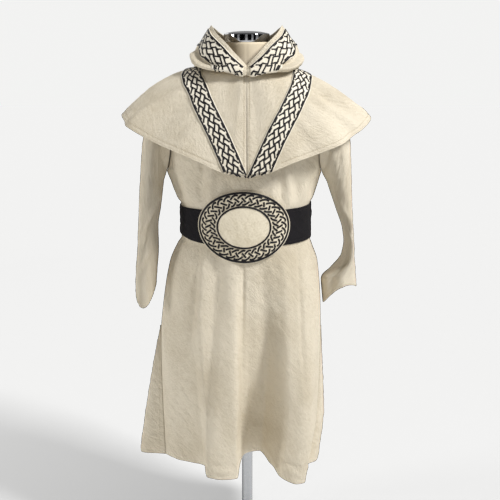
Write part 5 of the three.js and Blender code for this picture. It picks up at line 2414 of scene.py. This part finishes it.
@dataclass(frozen=True)
class Studio:
    """The camera, the pale floor, the soft lights and the black flags."""

    lens: float = 62.856
    camera_at: tuple[float, float, float] = (0.008, -2.240, 1.420)
    pitch: float = 14.0
    away: float = 3.4  # metres from the axis to the flags

    def camera(self) -> None:
        """Set up the camera."""
        data = bpy.data.cameras.new("camera")
        data.sensor_width, data.lens = 36, self.lens
        data.clip_end = 60
        made = bpy.data.objects.new("camera", data)
        made.location = self.camera_at
        made.rotation_euler = (math.radians(90 - self.pitch), 0, 0)
        bpy.context.scene.collection.objects.link(made)
        bpy.context.scene.camera = made

    @staticmethod
    def light(
        name: str,
        at: tuple[float, float, float],
        aim: tuple[float, float, float],
        size: tuple[float, float],
        power: float,
    ) -> None:
        """Add a soft rectangular light.

        Args:
            name: The light's name.
            at: Its place.
            aim: The point that it faces.
            size: Its width and height.
            power: Its power in watts.
        """
        data = bpy.data.lights.new(name, "AREA")
        data.shape = "RECTANGLE"
        data.size, data.size_y = size
        data.energy = power
        made = bpy.data.objects.new(name, data)
        made.location = at
        way = np.array(aim, float) - np.array(at, float)
        flat = math.hypot(way[0], way[1])
        made.rotation_euler = (
            math.pi / 2 + math.atan2(way[2], flat), 0, math.atan2(way[1], way[0]) - math.pi / 2
        )
        bpy.context.scene.collection.objects.link(made)

    @staticmethod
    def flag(name: str, size: tuple[float, float], velvet: bpy.types.Material) -> bpy.types.Object:
        """Make a black flag, which only shows as a dark band in the polished metal.

        Args:
            name: The flag's name.
            size: Its width and height in metres.
            velvet: Its material.

        Returns:
            The flag, lying at the origin.
        """
        bpy.ops.mesh.primitive_plane_add(size=1)
        made = bpy.context.object
        made.name, made.scale = name, (*size, 1)
        made.data.materials.append(velvet)
        made.visible_camera = made.visible_diffuse = made.visible_shadow = False
        return made

    def flags(self) -> None:
        """Hang the flags round the set and over it."""
        velvet, _, shader = new_material("black_velvet")
        feed(shader, {"Base Color": linear("050505"), "Roughness": 1.0, "Specular IOR Level": 0.0})
        for degrees, width in FLAGS:
            turn = math.radians(degrees)
            made = self.flag(f"flag_{degrees}", (width, 4.0), velvet)
            made.rotation_euler = (math.pi / 2, 0, turn)
            made.location = (self.away * math.sin(turn), -self.away * math.cos(turn), 2.0)
        self.flag("flag_overhead", (5, 5), velvet).location = (0, 0, 4.2)

    def build(self) -> None:
        """Make the floor, the world and the lights."""
        bpy.ops.object.select_all(action="DESELECT")
        bpy.ops.mesh.primitive_plane_add(size=30, location=(0, 0, -0.0005))
        floor = bpy.context.object
        floor.name = "floor"
        material, _, shader = new_material("pale_paper")
        feed(shader, {"Base Color": linear("fbfbfa"), "Roughness": 0.9})
        feed(shader, {"Emission Color": linear("ffffff"), "Emission Strength": 0.2})
        floor.data.materials.append(material)
        # The floor only takes the shadow, so that it runs into the backdrop without a horizon.
        floor.is_shadow_catcher = True
        world = bpy.data.worlds.new("studio")
        bpy.context.scene.world = world
        world.use_nodes = True
        # The backdrop is brighter to the eye than the light that it sheds, as in a large studio.
        tree = world.node_tree
        dim = tree.nodes["Background"]
        feed(dim, {"Color": linear("f6f5f3"), "Strength": 0.31})
        bright = node(tree, "ShaderNodeBackground", {"Color": linear("f8f8f7"), "Strength": 0.95})
        seen = node(tree, "ShaderNodeLightPath").outputs["Is Camera Ray"]
        mixed = node(
            tree,
            "ShaderNodeMixShader",
            {0: seen, 1: dim.outputs["Background"], 2: bright.outputs["Background"]},
        )
        tree.links.new(mixed.outputs["Shader"], tree.nodes["World Output"].inputs["Surface"])
        self.light("key", (2.0, -1.2, 3.25), (0, 0, 0.9), (0.5, 0.7), 112)
        self.light("fill", (-2.7, -0.7, 1.5), (0, 0, 0.8), (0.6, 1.6), 26)
        self.light("rim", (-1.6, 2.4, 2.4), (0, 0, 1.0), (1.2, 1.6), 20)
        bpy.context.scene.view_settings.view_transform = "Standard"
        self.flags()


FRONT_CREASES = (
    Crease((-36, 868), (-38, 440), 19, 8.0),
    Crease((-9, 856), (-10, 330), 5, -5.0),
    Crease((-70, 866), (-112, 400), 17, -9.5),
    Crease((-104, 868), (-136, 560), 13, 4.0),
    Crease((40, 862), (50, 520), 19, -6.5),
    Crease((92, 868), (112, 520), 17, 6.0),
    Crease((131, 872), (147, 560), 6, -3.4),
    Crease((-122, 880), (-146, 640), 9, -3.6),
    Crease((-108, 1120), (-116, 1010), 9, -4.0),
    Crease((-84, 1110), (-92, 1012), 9, 3.6),
    Crease((-40, 1066), (-50, 1030), 12, -2.6),
    Crease((100, 1130), (106, 1008), 8, 5.0),
    Crease((84, 1120), (88, 1010), 7, -4.6),
    Crease((122, 1120), (128, 1010), 8, -3.6),
    Crease((60, 1076), (66, 1022), 9, 2.6),
    # Flat creases across the hem, where it was folded up in storage.
    Crease((-92, 338), (-30, 330), 5, -2.6, 4),
    Crease((-86, 318), (-34, 322), 4, 2.4, -3),
    Crease((84, 344), (146, 332), 5, -2.6, 4),
    Crease((96, 322), (148, 318), 4, 2.4, 3),
    Crease((-6, 372), (52, 380), 6, 2.2, 8),
)
BACK_CREASES = (
    Crease((-40, 870), (-52, 600), 13, 2.8),
    Crease((12, 872), (20, 620), 12, -2.6),
    Crease((70, 868), (92, 600), 12, 2.6),
    Crease((-96, 872), (-118, 640), 12, -2.4),
    Crease((-30, 1180), (-46, 1010), 12, 2.4),
    Crease((38, 1160), (52, 1010), 11, -2.2),
)
CAPE_CREASES = (
    Crease((-148, 140), (-196, 264), 11, 7.5, 5),
    Crease((-176, 144), (-222, 262), 9, -6.5, 4),
    Crease((-92, 170), (-112, 262), 9, -4.0),
    Crease((-214, 150), (-246, 240), 9, 3.0),
    Crease((152, 140), (196, 262), 9, 5.5, -4),
    Crease((178, 142), (222, 258), 8, -5.5, -4),
    Crease((208, 144), (252, 256), 9, 5.0),
    Crease((96, 170), (114, 262), 9, 3.5),
    Crease((-330, 110), (-350, 255), 11, 4.6),
    Crease((330, 110), (352, 255), 11, -4.6),
    Crease((430, 90), (455, 255), 12, 4.6),
    Crease((-440, 90), (-470, 255), 12, -4.6),
)
LEFT_SLEEVE = Table(
    SLEEVE_NAMES,
    [
        (0, 192, 1296, 206, 1075, 62, 0, 0),
        (1, 226, 1271, 208, 1071, 68, 0, 0),
        (2, 252, 1222, 211, 1062, 72, 0, 0),
        (3, 264, 1160, 216, 1046, 73, -2, 0),
        (4, 271, 1095, 219, 1022, 72, -4, 0),
        (5, 277, 1020, 225, 978, 68, -6, 0),
        (6, 282, 945, 233, 925, 62, -8, 0),
        (7, 286, 880, 233, 872, 60, -10, 2),
        (8, 292, 815, 238, 812, 62, -10, 8),
        (9, 295, 760, 242, 768, 64, -10, 40),
    ],
)
RIGHT_SLEEVE = Table(
    SLEEVE_NAMES,
    [
        (0, 190, 1296, 192, 1075, 62, 0, 0),
        (1, 226, 1264, 194, 1071, 68, 0, 0),
        (2, 251, 1214, 198, 1062, 72, 0, 0),
        (3, 263, 1160, 207, 1046, 73, 0, 0),
        (4, 268, 1090, 217, 1018, 71, 2, 0),
        (5, 272, 1010, 234, 970, 66, 4, 0),
        (6, 277, 940, 252, 918, 58, 6, 0),
        (7, 281, 890, 257, 880, 54, 6, 0),
        (8, 284, 850, 251, 844, 52, 6, 0),
        (9, 287, 818, 222, 808, 50, 6, -6),
        (10, 290, 790, 198, 781, 48, 6, -10),
        (11, 292, 762, 204, 717, 46, 6, -30),
    ],
)
LEFT_SLEEVE_CREASES = (
    Crease((30, 1030), (128, 905), 11, 8.0, -6),
    Crease((26, 996), (118, 872), 10, -6.5, -6),
    Crease((60, 880), (130, 830), 10, 4.5),
    Crease((56, 858), (124, 806), 8, -3.5),
    Crease((100, 1180), (84, 1080), 12, 3.0),
)
RIGHT_SLEEVE_CREASES = (
    Crease((50, 1010), (116, 930), 10, 5.0),
    Crease((44, 980), (108, 904), 9, -4.5),
    Crease((104, 915), (92, 775), 12, 6.5),
    Crease((66, 900), (58, 770), 15, -7.5),
    Crease((100, 1180), (84, 1070), 12, -3.0),
)


def main() -> None:
    """Build the robe, its form and the studio."""
    logging.basicConfig(level=logging.INFO, format="%(name)s: %(message)s")
    studio = Studio()
    studio.camera()
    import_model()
    finishes = Finishes()
    robe = RobeBody(front_creases=FRONT_CREASES, back_creases=BACK_CREASES)
    robe.build(finishes)
    Sleeve("left", LEFT_SLEEVE, LEFT_SLEEVE_CREASES).build(finishes)
    Sleeve("right", RIGHT_SLEEVE, RIGHT_SLEEVE_CREASES).build(finishes)
    cape = Cape(creases=CAPE_CREASES)
    cape.build(finishes)
    for side in ("left", "right"):
        CapeRibbon(cape, side).build(finishes)
    Hood(cape).build(finishes)
    Belt(robe).build(finishes)
    DressForm().build(finishes)
    studio.build()


if __name__ == "__main__":
    main()
